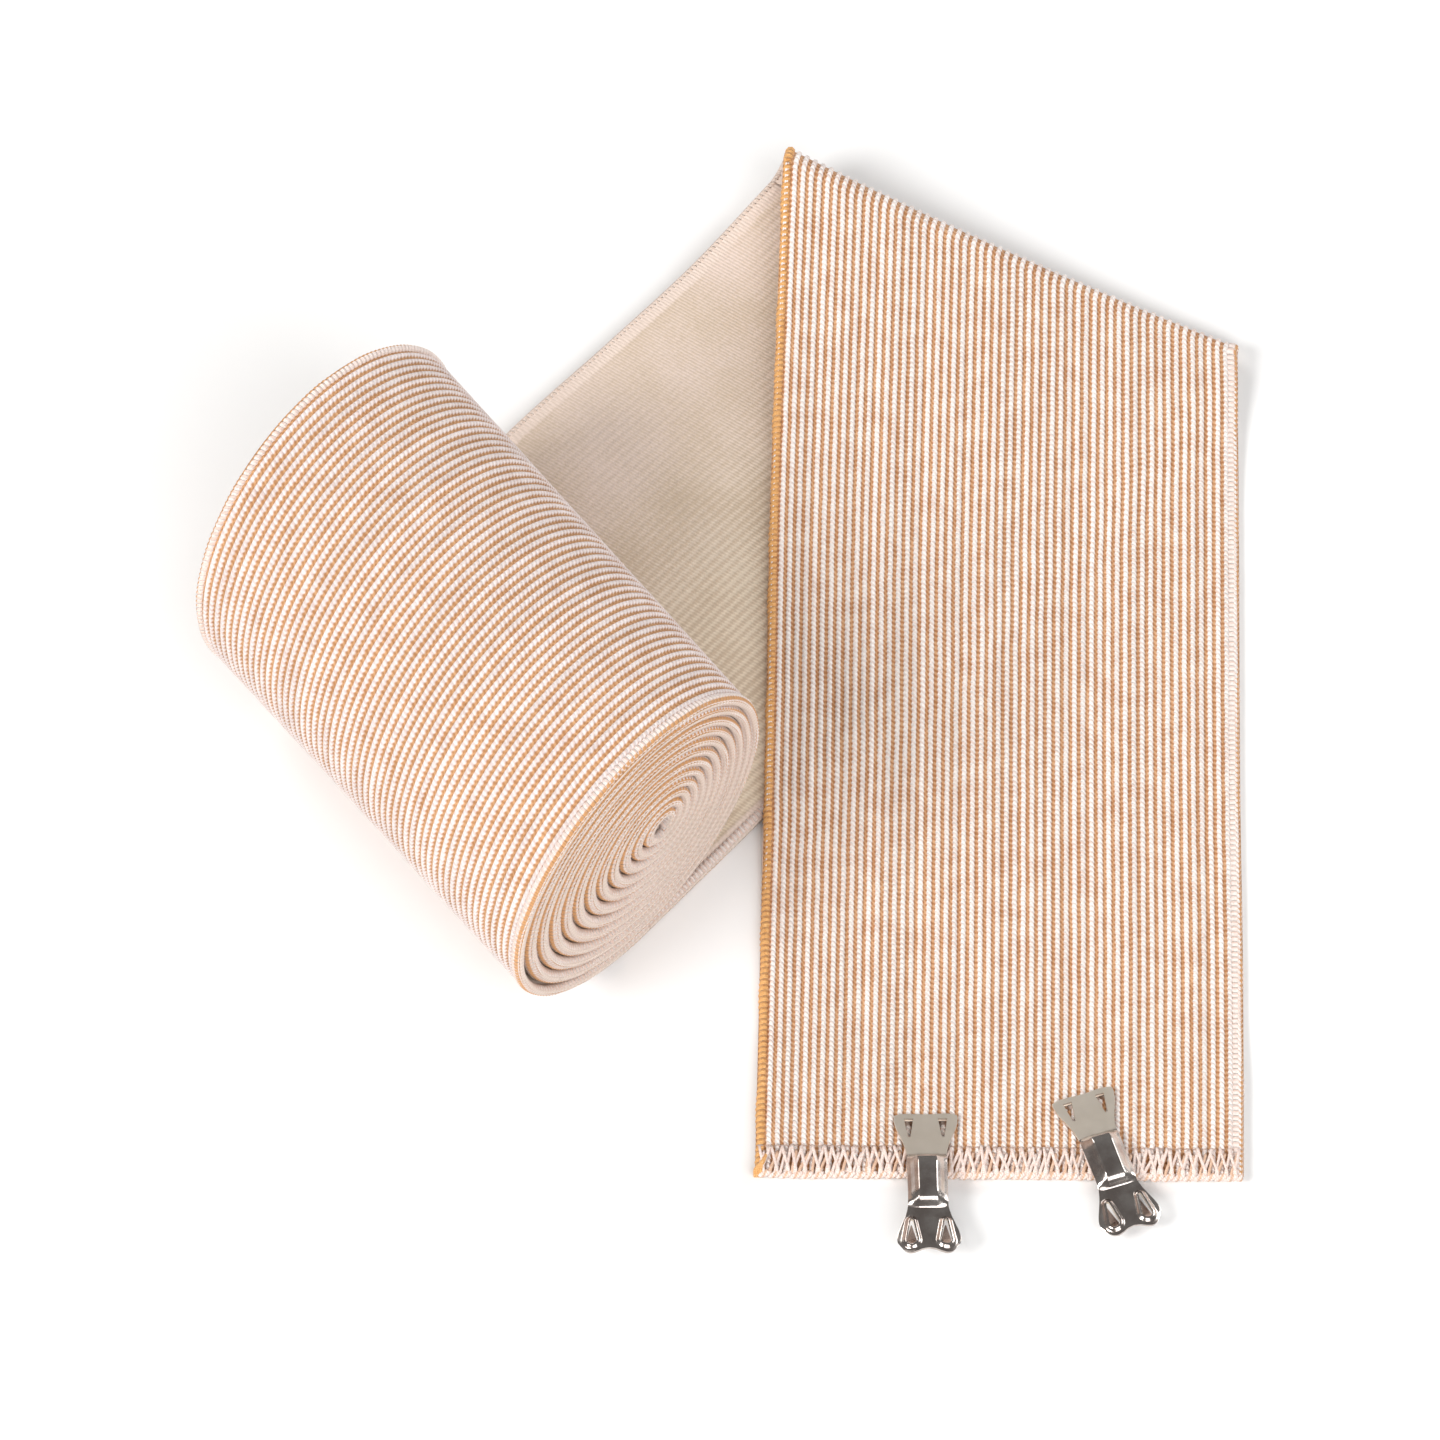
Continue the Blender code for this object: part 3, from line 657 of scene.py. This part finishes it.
def ribbed_weave(name, cord_share, softness, cord, groove, deep_groove):
    """White twisted cords on an orange-tan ground, with the weft showing between them."""
    shader = Shader(name, 0.85, sheen=0.15, specular=0.2)
    width, length = shader.weave_places()
    solid = shader.object_places()
    drift = shader.noise(solid, 260.0)
    shifted = shader.math("ADD", width, shader.math("MULTIPLY", shader.math("SUBTRACT", drift, 0.5), 0.00022))
    ribs = shader.math("DIVIDE", shifted, RIB_PITCH)
    rib_number = shader.math("FLOOR", ribs)
    phase = shader.math("SUBTRACT", shader.math("FRACT", ribs), 0.5)
    distance = shader.math("MULTIPLY", shader.math("ABSOLUTE", phase), 2.0)
    random = shader.add("ShaderNodeTexWhiteNoise", {"W": rib_number}, noise_dimensions="1D")
    rib_random = random.outputs["Value"]
    running = shader.math("ADD", length, shader.math("MULTIPLY", rib_random, TWIST_LENGTH))
    beads = shader.wave(running, TWIST_LENGTH)
    edge = shader.math("MULTIPLY_ADD", beads, 0.075, cord_share)
    inner = shader.math("SUBTRACT", edge, softness)
    outer = shader.math("ADD", edge, softness)
    cord_mask = shader.math("SUBTRACT", 1.0, shader.remap(distance, inner, outer))
    slant = shader.math("ADD", running, shader.math("MULTIPLY", phase, TWIST_LENGTH * 0.8))
    twist = shader.wave(slant, TWIST_LENGTH)
    weft = shader.wave(length, TWIST_LENGTH / 2)
    patches = shader.noise(solid, 330.0, 3.0)
    fibres = shader.noise(solid, 2600.0, 3.0)
    cord_tint = shader.remap(shader.math("MULTIPLY_ADD", twist, 0.24, patches), 0.05, 0.75)
    cord_colour = shader.blend(cord_tint, cord[0], cord[1])
    groove_tint = shader.remap(shader.math("MULTIPLY_ADD", beads, 0.30, patches), 0.10, 0.90)
    groove_colour = shader.blend(groove_tint, deep_groove, groove)
    rib_shade = shader.remap(rib_random, 0.0, 1.0, 0.94, 1.04)
    woven = shader.blend(cord_mask, groove_colour, cord_colour)
    fuzz = shader.remap(fibres, 0.25, 0.75, 0.90, 1.06)
    shade = shader.math("MULTIPLY", rib_shade, fuzz)
    shade_colour = shader.add("ShaderNodeCombineXYZ", {0: shade, 1: shade, 2: shade}).outputs[0]
    shader.colour(shader.blend(1.0, woven, shade_colour, "MULTIPLY"))
    relief = shader.math("MULTIPLY", cord_mask, shader.math("MULTIPLY_ADD", twist, 0.5, 0.5))
    relief = shader.math("ADD", relief, shader.math("MULTIPLY", weft, 0.15))
    relief = shader.math("MULTIPLY_ADD", fibres, 0.5, relief)
    shader.bump(relief, 0.00014)
    return shader.material


def plain_weave(name, light, far_light, dark, thread):
    """The plain inner face: beige ribs that fade out towards the far edge, the weft across them."""
    shader = Shader(name, 0.9, sheen=0.1, specular=0.2)
    width, length = shader.weave_places()
    solid = shader.object_places()
    ridges = shader.wave(width, RIB_PITCH)
    weft = shader.wave(shader.math("ADD", length, shader.math("MULTIPLY", width, 0.35)), TWIST_LENGTH * 0.62)
    patches = shader.noise(solid, 60.0, 4.0)
    fibres = shader.noise(solid, 2200.0, 3.0)
    far = shader.remap(width, CLOTH_WIDTH * 0.35, CLOTH_WIDTH * 0.80)
    rib_weight = shader.math("MULTIPLY_ADD", far, -0.18, 0.20)
    level = shader.math("MULTIPLY_ADD", ridges, rib_weight, patches)
    level = shader.math("MULTIPLY_ADD", weft, 0.14, level)
    level = shader.math("MULTIPLY_ADD", shader.math("SUBTRACT", fibres, 0.5), 0.5, level)
    lit = shader.blend(far, light, far_light)
    woven = shader.blend(shader.remap(level, 0.15, 0.85), dark, lit)
    from_middle = shader.math("ABSOLUTE", shader.math("SUBTRACT", width, CLOTH_WIDTH / 2))
    frayed = shader.math("MULTIPLY_ADD", fibres, 0.8 * MM, from_middle)
    edge_mask = shader.remap(frayed, CLOTH_WIDTH / 2 - 2.3 * MM, CLOTH_WIDTH / 2 - 1.7 * MM)
    stitches = shader.remap(shader.wave(length, 0.9 * MM), -1.0, 1.0, 0.25, 0.75)
    stitched = shader.blend(stitches, thread[0], thread[1])
    shader.colour(shader.blend(edge_mask, woven, stitched))
    relief = shader.math("MULTIPLY_ADD", weft, 0.35, shader.math("MULTIPLY", ridges, 0.5))
    shader.bump(shader.math("ADD", relief, fibres), 0.00007)
    return shader.material


def overlock_thread(name, thread, gap_shade, line, stitch):
    """Wrapped stitching: a thread colour, painted shade in the gaps between stitches, and a coloured line by
    the face.
    """
    shader = Shader(name, 0.8, sheen=0.15, specular=0.25)
    around, length = shader.weave_places()
    solid = shader.object_places()
    turn = shader.math("MULTIPLY_ADD", around, stitch, length)
    stitches = shader.wave(turn, stitch)
    strands = shader.wave(turn, stitch / 3)
    fibres = shader.noise(solid, 2400.0, 3.0)
    patches = shader.noise(solid, 220.0, 2.0)
    # Painted shade: the darker gap colour fills the gaps between stitches.
    gap_shade_mask = shader.remap(shader.math("MULTIPLY_ADD", patches, 0.5, stitches), -0.95, -0.35)
    shade = shader.remap(shader.math("MULTIPLY_ADD", strands, 0.15, fibres), 0.2, 0.8)
    lit = shader.blend(shade, thread[0], thread[1])
    covered = shader.blend(gap_shade_mask, gap_shade, lit)
    near_line = shader.math("ABSOLUTE", shader.math("SUBTRACT", around, 0.15))
    line_mask = shader.math("SUBTRACT", 1.0, shader.remap(near_line, 0.035, 0.075))
    shader.colour(shader.blend(line_mask, covered, line))
    relief = shader.math("MULTIPLY_ADD", strands, 0.3, stitches)
    shader.bump(shader.math("ADD", relief, fibres), 0.00012)
    return shader.material


def nickel(name):
    """Nickel plating: matt and pale on the upper plate, polished from the arch down, with a darker colour
    painted there for the dark reflections.
    """
    shader = Shader(name, 0.2, 1.0)
    solid = shader.object_places()
    _, along = shader.weave_places()
    marks = shader.noise(solid, 900.0, 4.0)
    clouds = shader.noise(solid, 260.0, 3.0)
    polished = shader.remap(along, 0.285, 0.325)
    matt_colour = shader.blend(clouds, linear(224, 212, 196), linear(240, 231, 219))
    cloud_share = shader.remap(clouds, 0.35, 0.65)
    # Painted reflection: the polished part's colour is made darker to stand in for the dark reflections of
    # its surroundings.
    polished_colour_painted_darker = shader.blend(cloud_share, linear(186, 174, 168), linear(216, 208, 202))
    shader.colour(shader.blend(polished, matt_colour, polished_colour_painted_darker))
    gloss = shader.remap(polished, 0.0, 1.0, 0.46, 0.15)
    shader.feed(shader.math("MULTIPLY_ADD", marks, 0.08, gloss), shader.surface.inputs["Roughness"])
    shader.bump(shader.math("MULTIPLY_ADD", marks, 0.3, clouds), 0.00003)
    return shader.material


def even_columns(count):
    return np.linspace(0, 1, count)


def core_columns():
    """Places across the inner turns: fine near both ends of the roll, wide in between."""
    ends = 4
    middle = np.linspace(ends, RIB_COUNT - ends, 9)[1:-1] / RIB_COUNT
    return np.concatenate([rib_columns(0, ends), middle, rib_columns(RIB_COUNT - ends, RIB_COUNT), [1.0]])


def make_cloth():
    cords = (linear(236, 214, 204), linear(254, 247, 243))
    roll_cords = (linear(226, 205, 198), linear(244, 233, 231))
    edge_tints = (linear(220, 201, 187), linear(236, 218, 207))
    grooves = (linear(222, 176, 136), linear(178, 124, 82))
    roll_grooves = (linear(214, 167, 123), linear(182, 132, 90))
    strip_weave = ribbed_weave("strip_weave", 0.56, 0.10, cords, *grooves)
    roll_weave = ribbed_weave("roll_weave", 0.54, 0.15, roll_cords, *roll_grooves)
    back_tints = (linear(236, 221, 200), linear(228, 209, 198), linear(204, 184, 161))
    back = plain_weave("plain_back", *back_tints, edge_tints)
    full = np.concatenate([rib_columns(0, RIB_COUNT), [1.0]])
    fine_back = even_columns(RIB_COUNT * 4 + 1)
    flat_face = even_columns(RIB_COUNT + 1)
    # Name, first and last station, row spacing in mm, columns of both faces, ribbed look, how it is held
    pieces = (
        ("cloth_core", 0.0, ROLL_SURFACE_START, 1.0, core_columns(), even_columns(13), roll_weave, "folded"),
        ("cloth_roll", ROLL_SURFACE_START, TAIL_START, 1.05, full, even_columns(21), roll_weave, "folded"),
        ("cloth_tail", TAIL_START, BEND_START, 1.0, flat_face, fine_back, strip_weave, "laid"),
        ("cloth_strip", BEND_START, CLOTH_END, 1.0, full, even_columns(41), strip_weave, "folded"),
    )
    for name, first, last, spacing, ribbed, plain, face, held in pieces:
        stations = stations_between(first, last, spacing * MM)
        mesh = cloth_mesh(name, stations, ribbed, plain)
        piece = add_piece(name, mesh, (face, back))
        if name == "cloth_strip":
            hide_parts("bandage_cloth")


def make_edges():
    # The third colour given to each thread is the painted shade for the gaps between its stitches.
    pale = overlock_thread("overlock_pale", (linear(240, 218, 208), linear(252, 243, 238)),
                           linear(224, 192, 174), linear(214, 160, 110), PALE_STITCH)
    soft = overlock_thread("overlock_soft", (linear(224, 204, 190), linear(238, 221, 210)),
                           linear(206, 180, 160), linear(220, 188, 160), PALE_STITCH)
    orange = overlock_thread("overlock_orange", (linear(218, 156, 92), linear(246, 194, 130)),
                             linear(164, 104, 56), linear(232, 176, 112), ORANGE_STITCH)
    # Name, place across, half-width and half-height in mm, stitch, first and last station, thread
    edges = (
        ("edge_near", 0.0, 0.95, 0.78, PALE_STITCH, 0.0, CLOTH_END, pale),
        ("edge_far", 1.0, 0.66, 0.68, PALE_STITCH, 0.0, TAIL_START, pale),
        ("edge_tail", 1.0, 0.50, 0.60, PALE_STITCH, TAIL_START, THREAD_CHANGE, soft),
        ("edge_orange", 1.0, 0.70, 0.80, ORANGE_STITCH, THREAD_CHANGE, CLOTH_END, orange),
    )
    for name, across, half_width, half_height, stitch, first, last, thread in edges:
        heights = (ROLLED_EDGE_SHARE, half_height * MM)
        mesh = edge_bead_mesh(name, across, half_width * MM, heights, stitch, first, last)
        add_piece(name, mesh, (thread,))


def end_place(across, inward, height):
    """A point near the cut end: how far in from the end, and how high over the cloth's middle."""
    return cloth_point(CLOTH_END, across) + np.array([*(-ALONG_STRIP * inward), height])


def end_direction():
    """The unit vector along the cut end."""
    along_end = end_place(0.0, 0, 0) - end_place(1.0, 0, 0)
    return along_end / np.linalg.norm(along_end)


def loop_path(top, edge, under, depth, level, count=12):
    """One overlock strand: down over the ribs, round the edge, and back underneath."""
    corners = [
        end_place(top, depth + 0.2 * MM, level - 0.25 * MM),
        end_place(top, depth, level),
        end_place(mix(top, edge, 0.5), depth * 0.5, level + 0.08 * MM),
        end_place(edge, 0.2 * MM, level),
        end_place(edge, -0.42 * MM, 0.0),
        end_place(edge, 0.1 * MM, -level),
        end_place(under, depth * 0.6, -level),
    ]
    return smooth_path(corners, count)


def end_strands(random):
    """The zigzag of the bound end: a pair of strands a stitch, and a third strand with each pair."""
    along_end = end_direction()
    tubes = []
    pitch = STITCHED_SHARE / STITCH_COUNT
    half = 0.5 * pitch
    for number in range(STITCH_COUNT):
        place = 0.006 + pitch * (number + 0.5)
        lean = random.uniform(-0.22, 0.22, 6) * pitch
        level = HALF_CLOTH + (0.16 + random.uniform(-0.03, 0.06)) * MM
        depth = STITCH_DEPTH + random.uniform(-0.45, 0.10) * MM
        radius = THREAD_RADIUS * random.uniform(0.9, 1.2, 3)
        meet = place + lean[0]
        first = loop_path(place - half + lean[1], meet + 0.10 * pitch, meet, depth, level)
        second = loop_path(place + half + lean[2], meet - 0.10 * pitch, meet, depth, level + 0.10 * MM)
        third = loop_path(place + lean[3], place + half + lean[4], place, depth * 0.8, level - 0.04 * MM)
        tubes.append((first, radius[0], along_end, PALE))
        tubes.append((second, radius[1], along_end, PALE))
        tubes.append((third, radius[2], along_end, TAN if random.uniform() < 0.6 else PALE))
    return tubes


def end_chain(random):
    """Lumps of looped thread along the rim, and the straight stitch line at the top of the band."""
    up = np.array([0.0, 0.0, 1.0])
    tubes = []
    count = STITCH_COUNT * 14
    across = np.linspace(0.004, 0.990, count)
    wobble = np.interp(across, np.linspace(0, 1, 24), random.uniform(-0.16, 0.16, 24)) * MM
    turn = across * STITCH_COUNT * 2 * math.pi
    for shift, slot in ((0.0, PALE), (math.pi, PALE), (math.pi / 2, TAN)):
        inward = -0.20 * MM + 0.34 * MM * np.cos(turn + shift) - wobble
        height = 0.25 * MM + 0.38 * MM * np.sin(turn + shift)
        points = np.array([end_place(a, d, h) for a, d, h in zip(across, inward, height)])
        swell = CHAIN_RADIUS * (1 + 0.32 * np.cos(turn * 2 + shift))
        tubes.append((points, swell, up, slot))
    for number in range(RIB_COUNT):
        place = (number + 0.5) / RIB_COUNT
        span = 0.36 / RIB_COUNT
        corners = [
            end_place(place - span, STITCH_DEPTH + 0.1 * MM, HALF_CLOTH - 0.05 * MM),
            end_place(place, STITCH_DEPTH + 0.1 * MM, HALF_CLOTH + 0.17 * MM),
            end_place(place + span, STITCH_DEPTH + 0.1 * MM, HALF_CLOTH - 0.05 * MM),
        ]
        tubes.append((smooth_path(corners, 6), LINE_RADIUS, up, GREY))
    return tubes


def corner_wraps(random):
    """Orange thread wound round the strip's lower left corner."""
    along_end = end_direction()
    tubes = []
    for number in range(4):
        place = 0.988 + 0.004 * number
        depth = (2.7 - 0.5 * number) * MM
        level = HALF_CLOTH + (0.28 + random.uniform(0, 0.08)) * MM
        path = loop_path(place - 0.010, place, place, depth, level)
        tubes.append((path, THREAD_RADIUS, along_end, ORANGE))
    return tubes


def make_end():
    """The bound end: strands in pale and orange thread, with a grey stitch line."""
    random = np.random.default_rng(7)
    threads = (
        plied_thread("thread_pale", linear(232, 202, 188), linear(252, 241, 235)),
        plied_thread("thread_orange", linear(218, 156, 92), linear(246, 196, 134)),
        plied_thread("thread_grey", linear(168, 142, 130), linear(206, 182, 170)),
        plied_thread("thread_tan", linear(212, 170, 140), linear(236, 204, 180)),
    )
    tubes = end_strands(random) + end_chain(random) + corner_wraps(random)
    piece = add_piece("end_threads", tubes_mesh("end_threads", tubes), threads)
    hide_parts("end_binding")


def plied_thread(name, dark, light):
    """Thread with its plies slanting round it."""
    shader = Shader(name, 0.8, sheen=0.15, specular=0.25)
    around, length = shader.weave_places()
    plies = shader.wave(shader.math("MULTIPLY_ADD", around, 0.5 * MM, length), 0.25 * MM)
    fibres = shader.noise(shader.object_places(), 2600.0, 3.0)
    level = shader.math("MULTIPLY_ADD", plies, 0.18, fibres)
    shader.colour(shader.blend(shader.remap(level, 0.2, 0.8), dark, light))
    shader.bump(level, 0.00008)
    return shader.material


CLIP_FINE_ROWS = np.concatenate([np.linspace(0, 0.68, 76)[:-1], np.linspace(0.68, 1, 84)])
CLIP_FINE_COLUMNS = np.linspace(-1, 1, 70)


def clip_profile(name, along, blur):
    """A column of the clip's rows, rounded over a length of blur."""
    fine = np.linspace(0, 1, PROFILE_STEPS + 1)
    values = np.interp(fine, [row["along"] for row in CLIP_ROWS], [row[name] for row in CLIP_ROWS])
    reach = max(1, round(blur / CLIP_LENGTH * PROFILE_STEPS))
    kernel = np.hanning(2 * reach + 3)[1:-1]
    padded = np.concatenate([np.full(reach, values[0]), values, np.full(reach, values[-1])])
    return np.interp(along, fine, np.convolve(padded, kernel / kernel.sum(), "valid"))


def teardrop_distance(across, along):
    """Distance to the lower openings' outline, in the clip's plan: wide below, narrow above."""
    across = np.abs(np.abs(across) - PUNCH_SPACING / 2)
    along = along - TEARDROP_START
    taper = (TEARDROP_LOW_RADIUS - TEARDROP_HIGH_RADIUS) / TEARDROP_LENGTH
    slope = math.sqrt(1 - taper * taper)
    key = along * slope - across * taper
    low = np.hypot(across, along) - TEARDROP_LOW_RADIUS
    high = np.hypot(across, along - TEARDROP_LENGTH) - TEARDROP_HIGH_RADIUS
    side = across * slope + along * taper - TEARDROP_LOW_RADIUS
    return np.where(key < 0, low, np.where(key > slope * TEARDROP_LENGTH, high, side))


def clip_surface(columns, rows):
    """The stamped sheet's middle surface in the clip's own frame."""
    half_width = clip_profile("half_width", rows, 1.6 * MM) * CLIP_WIDTH / 2
    rise = clip_profile("rise", rows, 0.35 * MM)
    side_drop = clip_profile("side_drop", rows, 0.35 * MM)
    places = np.array([entry["place"] for entry in CLIP_COLUMNS])
    drop = np.interp(np.abs(columns), places, [entry["drop"] for entry in CLIP_COLUMNS])
    setback = smooth_curve(places, np.array([entry["setback"] for entry in CLIP_COLUMNS]), np.abs(columns))
    across = columns * half_width
    along = CLIP_LENGTH * (0.5 - rows) + clip_profile("setback", rows, 0.5 * MM) * setback * CLIP_WIDTH
    height = ARCH_RISE * (rise - side_drop * drop) + CLIP_SHEET / 2
    rim = np.exp(-((teardrop_distance(across, along) - RIM_OFFSET) / RIM_WIDTH) ** 2)
    return np.stack([across, along, height + RIM_RISE * rim], axis=-1)


def prism_mesh(name, outline, low, high):
    """A straight prism over an outline in plan, from one height to another."""
    solid = bmesh.new()
    bottom = [solid.verts.new((x, y, low)) for x, y in outline]
    top = [solid.verts.new((x, y, high)) for x, y in outline]
    solid.faces.new(bottom[::-1])
    solid.faces.new(top)
    for number in range(len(outline)):
        after = (number + 1) % len(outline)
        solid.faces.new((bottom[number], bottom[after], top[after], top[number]))
    bmesh.ops.recalc_face_normals(solid, faces=solid.faces)
    mesh = bpy.data.meshes.new(name)
    solid.to_mesh(mesh)
    solid.free()
    return mesh


def arc_points(x, y, radius, first, last, count):
    """Points on an arc round a centre, from one angle to another."""
    angles = np.linspace(first, last, count)
    return [(x + radius * math.cos(angle), y + radius * math.sin(angle)) for angle in angles]


def punch_outlines():
    """The four openings: tapered slots above, teardrops below."""
    outlines = []
    for side in (-1, 1):
        middle = side * PUNCH_SPACING / 2
        top = CLIP_LENGTH / 2 - PUNCH_INSET
        low = top - SLOT_LENGTH
        outlines.append([(middle - SLOT_HALF_WIDE, top), (middle - SLOT_HALF_NARROW, low),
                         (middle + SLOT_HALF_NARROW, low), (middle + SLOT_HALF_WIDE, top)])
        lower = arc_points(middle, TEARDROP_START, TEARDROP_LOW_RADIUS, math.pi, 2 * math.pi, 15)
        tip = TEARDROP_START + TEARDROP_LENGTH
        outlines.append(lower + arc_points(middle, tip, TEARDROP_HIGH_RADIUS, 0, math.pi, 9))
    return outlines


def claw_grid(side, end):
    """A claw bent down out of its opening, curving in towards the arch."""
    points = []
    root = end * (CLIP_LENGTH / 2 - PUNCH_INSET - 0.02 * MM)
    middle = side * PUNCH_SPACING / 2
    claw = UPPER_CLAW if end > 0 else LOWER_CLAW
    for share in np.linspace(0, 1, 11):
        half = mix(claw["half_width"], CLAW_TIP, share ** 2.2)
        along = root - end * (0.20 * MM + claw["run"] * share ** 1.3)
        height = CLIP_SHEET * 0.5 - CLAW_DEPTH * math.sin(share * math.pi / 2)
        points.append([(middle + half * place, along, height) for place in CLAW_PLACES])
    return np.array(points)


def grid_object(name, points, places):
    rows, columns = points.shape[:2]
    faces = grid_faces(rows, columns, 0, False)
    mesh = build_mesh(name, points, faces, places, [0] * len(faces))
    made = bpy.data.objects.new(name, mesh)
    bpy.context.scene.collection.objects.link(made)
    return made


def clip_mesh():
    """The finished stamping: rounded sheet edges, four openings and four bent claws."""
    rows, columns = np.meshgrid(CLIP_FINE_ROWS, CLIP_FINE_COLUMNS, indexing="ij")
    sheet = grid_object("sheet", clip_surface(columns, rows), np.stack([columns, rows], axis=-1))
    wall = sheet.modifiers.new("wall", "SOLIDIFY")
    wall.thickness = CLIP_SHEET
    wall.offset = 0.0
    rounding = sheet.modifiers.new("rounding", "BEVEL")
    rounding.width = EDGE_ROUNDING
    rounding.segments = 2
    rounding.limit_method = "ANGLE"
    rounding.angle_limit = math.radians(55)
    used = [sheet]
    for outline in punch_outlines():
        tool = bpy.data.objects.new("punch", prism_mesh("punch", outline, -2 * MM, 4 * MM))
        bpy.context.scene.collection.objects.link(tool)
        cut = sheet.modifiers.new("cut", "BOOLEAN")
        cut.object = tool
        cut.operation = "DIFFERENCE"
        cut.solver = "EXACT"
        used.append(tool)
    joined = bmesh.new()
    joined.from_object(sheet, bpy.context.evaluated_depsgraph_get())
    for side in (-1, 1):
        for end in (-1, 1):
            claw = claw_grid(side, end)
            share = np.full(claw.shape[:2], CLAW_LOOK)
            blade = grid_object("claw", claw, np.stack([share * 0, share], axis=-1))
            wall = blade.modifiers.new("wall", "SOLIDIFY")
            wall.thickness = CLIP_SHEET * CLAW_SHEET_SHARE
            wall.offset = 0.0
            joined.from_object(blade, bpy.context.evaluated_depsgraph_get())
            used.append(blade)
    mesh = bpy.data.meshes.new("clip")
    joined.to_mesh(mesh)
    joined.free()
    for tool in used:
        bpy.data.objects.remove(tool)
    mesh.shade_smooth()
    mesh.set_sharp_from_angle(angle=math.radians(42))
    return mesh


def seat_tilt(clip):
    """The tilt at which a clip whose upper end rests on the cloth just clears the binding."""
    skew = CLIP_WIDTH / 2 * abs(math.sin(math.radians(clip["turn"])))
    cut_end = CLIP_LENGTH * (0.5 - clip["past_end"])
    over_binding = np.linspace(cut_end - BINDING_DEPTH - skew, cut_end + HALF_CLOTH + BINDING_LIFT + skew, 30)
    rows_along = [row["along"] * CLIP_LENGTH for row in CLIP_ROWS]
    rows_edge = [(row["rise"] - row["side_drop"]) * ARCH_RISE for row in CLIP_ROWS]
    short_by = BINDING_LIFT - np.interp(over_binding, rows_along, rows_edge)
    return math.asin(max(0.0, float(np.max(short_by / over_binding))))


def make_clips():
    metal = nickel("nickel_plate")
    for clip in CLIPS:
        piece = add_piece(clip["name"] + "_metal", clip_mesh(), (metal,))
        edge = cloth_point(CLOTH_END, 1 - clip["across"])
        tilt = seat_tilt(clip)
        plan = edge[:2] + ALONG_STRIP * CLIP_LENGTH * clip["past_end"]
        height = edge[2] + HALF_CLOTH + CLEARANCE + math.sin(tilt) * CLIP_LENGTH / 2
        piece.location = (*plan, height)
        piece.rotation_euler = (-tilt, 0, math.radians(clip["turn"]))
        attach(piece, "root")
        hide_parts(clip["name"])


def make_floor():
    bpy.ops.mesh.primitive_plane_add(size=4.0, location=(0, 0, -0.0001))
    floor = bpy.context.object
    floor.name = "floor"
    shader = Shader("floor_white", 0.9, specular=0.1)
    shader.surface.inputs["Base Color"].default_value = (0.93, 0.93, 0.93, 1.0)
    floor.data.materials.append(shader.material)


def add_area_light(name, place, size, power, colour):
    """A round soft light that points at the middle of the floor."""
    light = bpy.data.lights.new(name, "AREA")
    light.shape = "DISK"
    light.size = size
    light.energy = power
    light.color = colour
    lamp = bpy.data.objects.new(name, light)
    bpy.context.scene.collection.objects.link(lamp)
    lamp.location = place
    lamp.rotation_euler = vector_rotation(-np.array(place))


def vector_rotation(direction):
    """The rotation that turns an object's -Z axis along a direction."""
    return Vector(direction).to_track_quat("-Z", "Y").to_euler()


def make_light():
    world = bpy.data.worlds.new("studio")
    world.use_nodes = True
    world.node_tree.nodes["Background"].inputs[0].default_value = (1.0, 0.99, 0.98, 1.0)
    world.node_tree.nodes["Background"].inputs[1].default_value = 0.18
    bpy.context.scene.world = world
    bpy.context.scene.view_settings.view_transform = "Standard"
    for light in LIGHTS:
        add_area_light(**light)


def make_camera():
    away = np.array([0.0, -math.cos(CAMERA_ELEVATION), math.sin(CAMERA_ELEVATION)])
    camera = bpy.data.cameras.new("camera")
    camera.lens = CAMERA_LENS
    camera.sensor_width = 36.0
    camera.clip_end = 10.0
    holder = bpy.data.objects.new("camera", camera)
    bpy.context.scene.collection.objects.link(holder)
    holder.location = CAMERA_TARGET + away * CAMERA_DISTANCE
    holder.rotation_euler = vector_rotation(-away)
    bpy.context.scene.camera = holder


make_floor()
make_light()
make_camera()
make_cloth()
make_edges()
make_end()
make_clips()
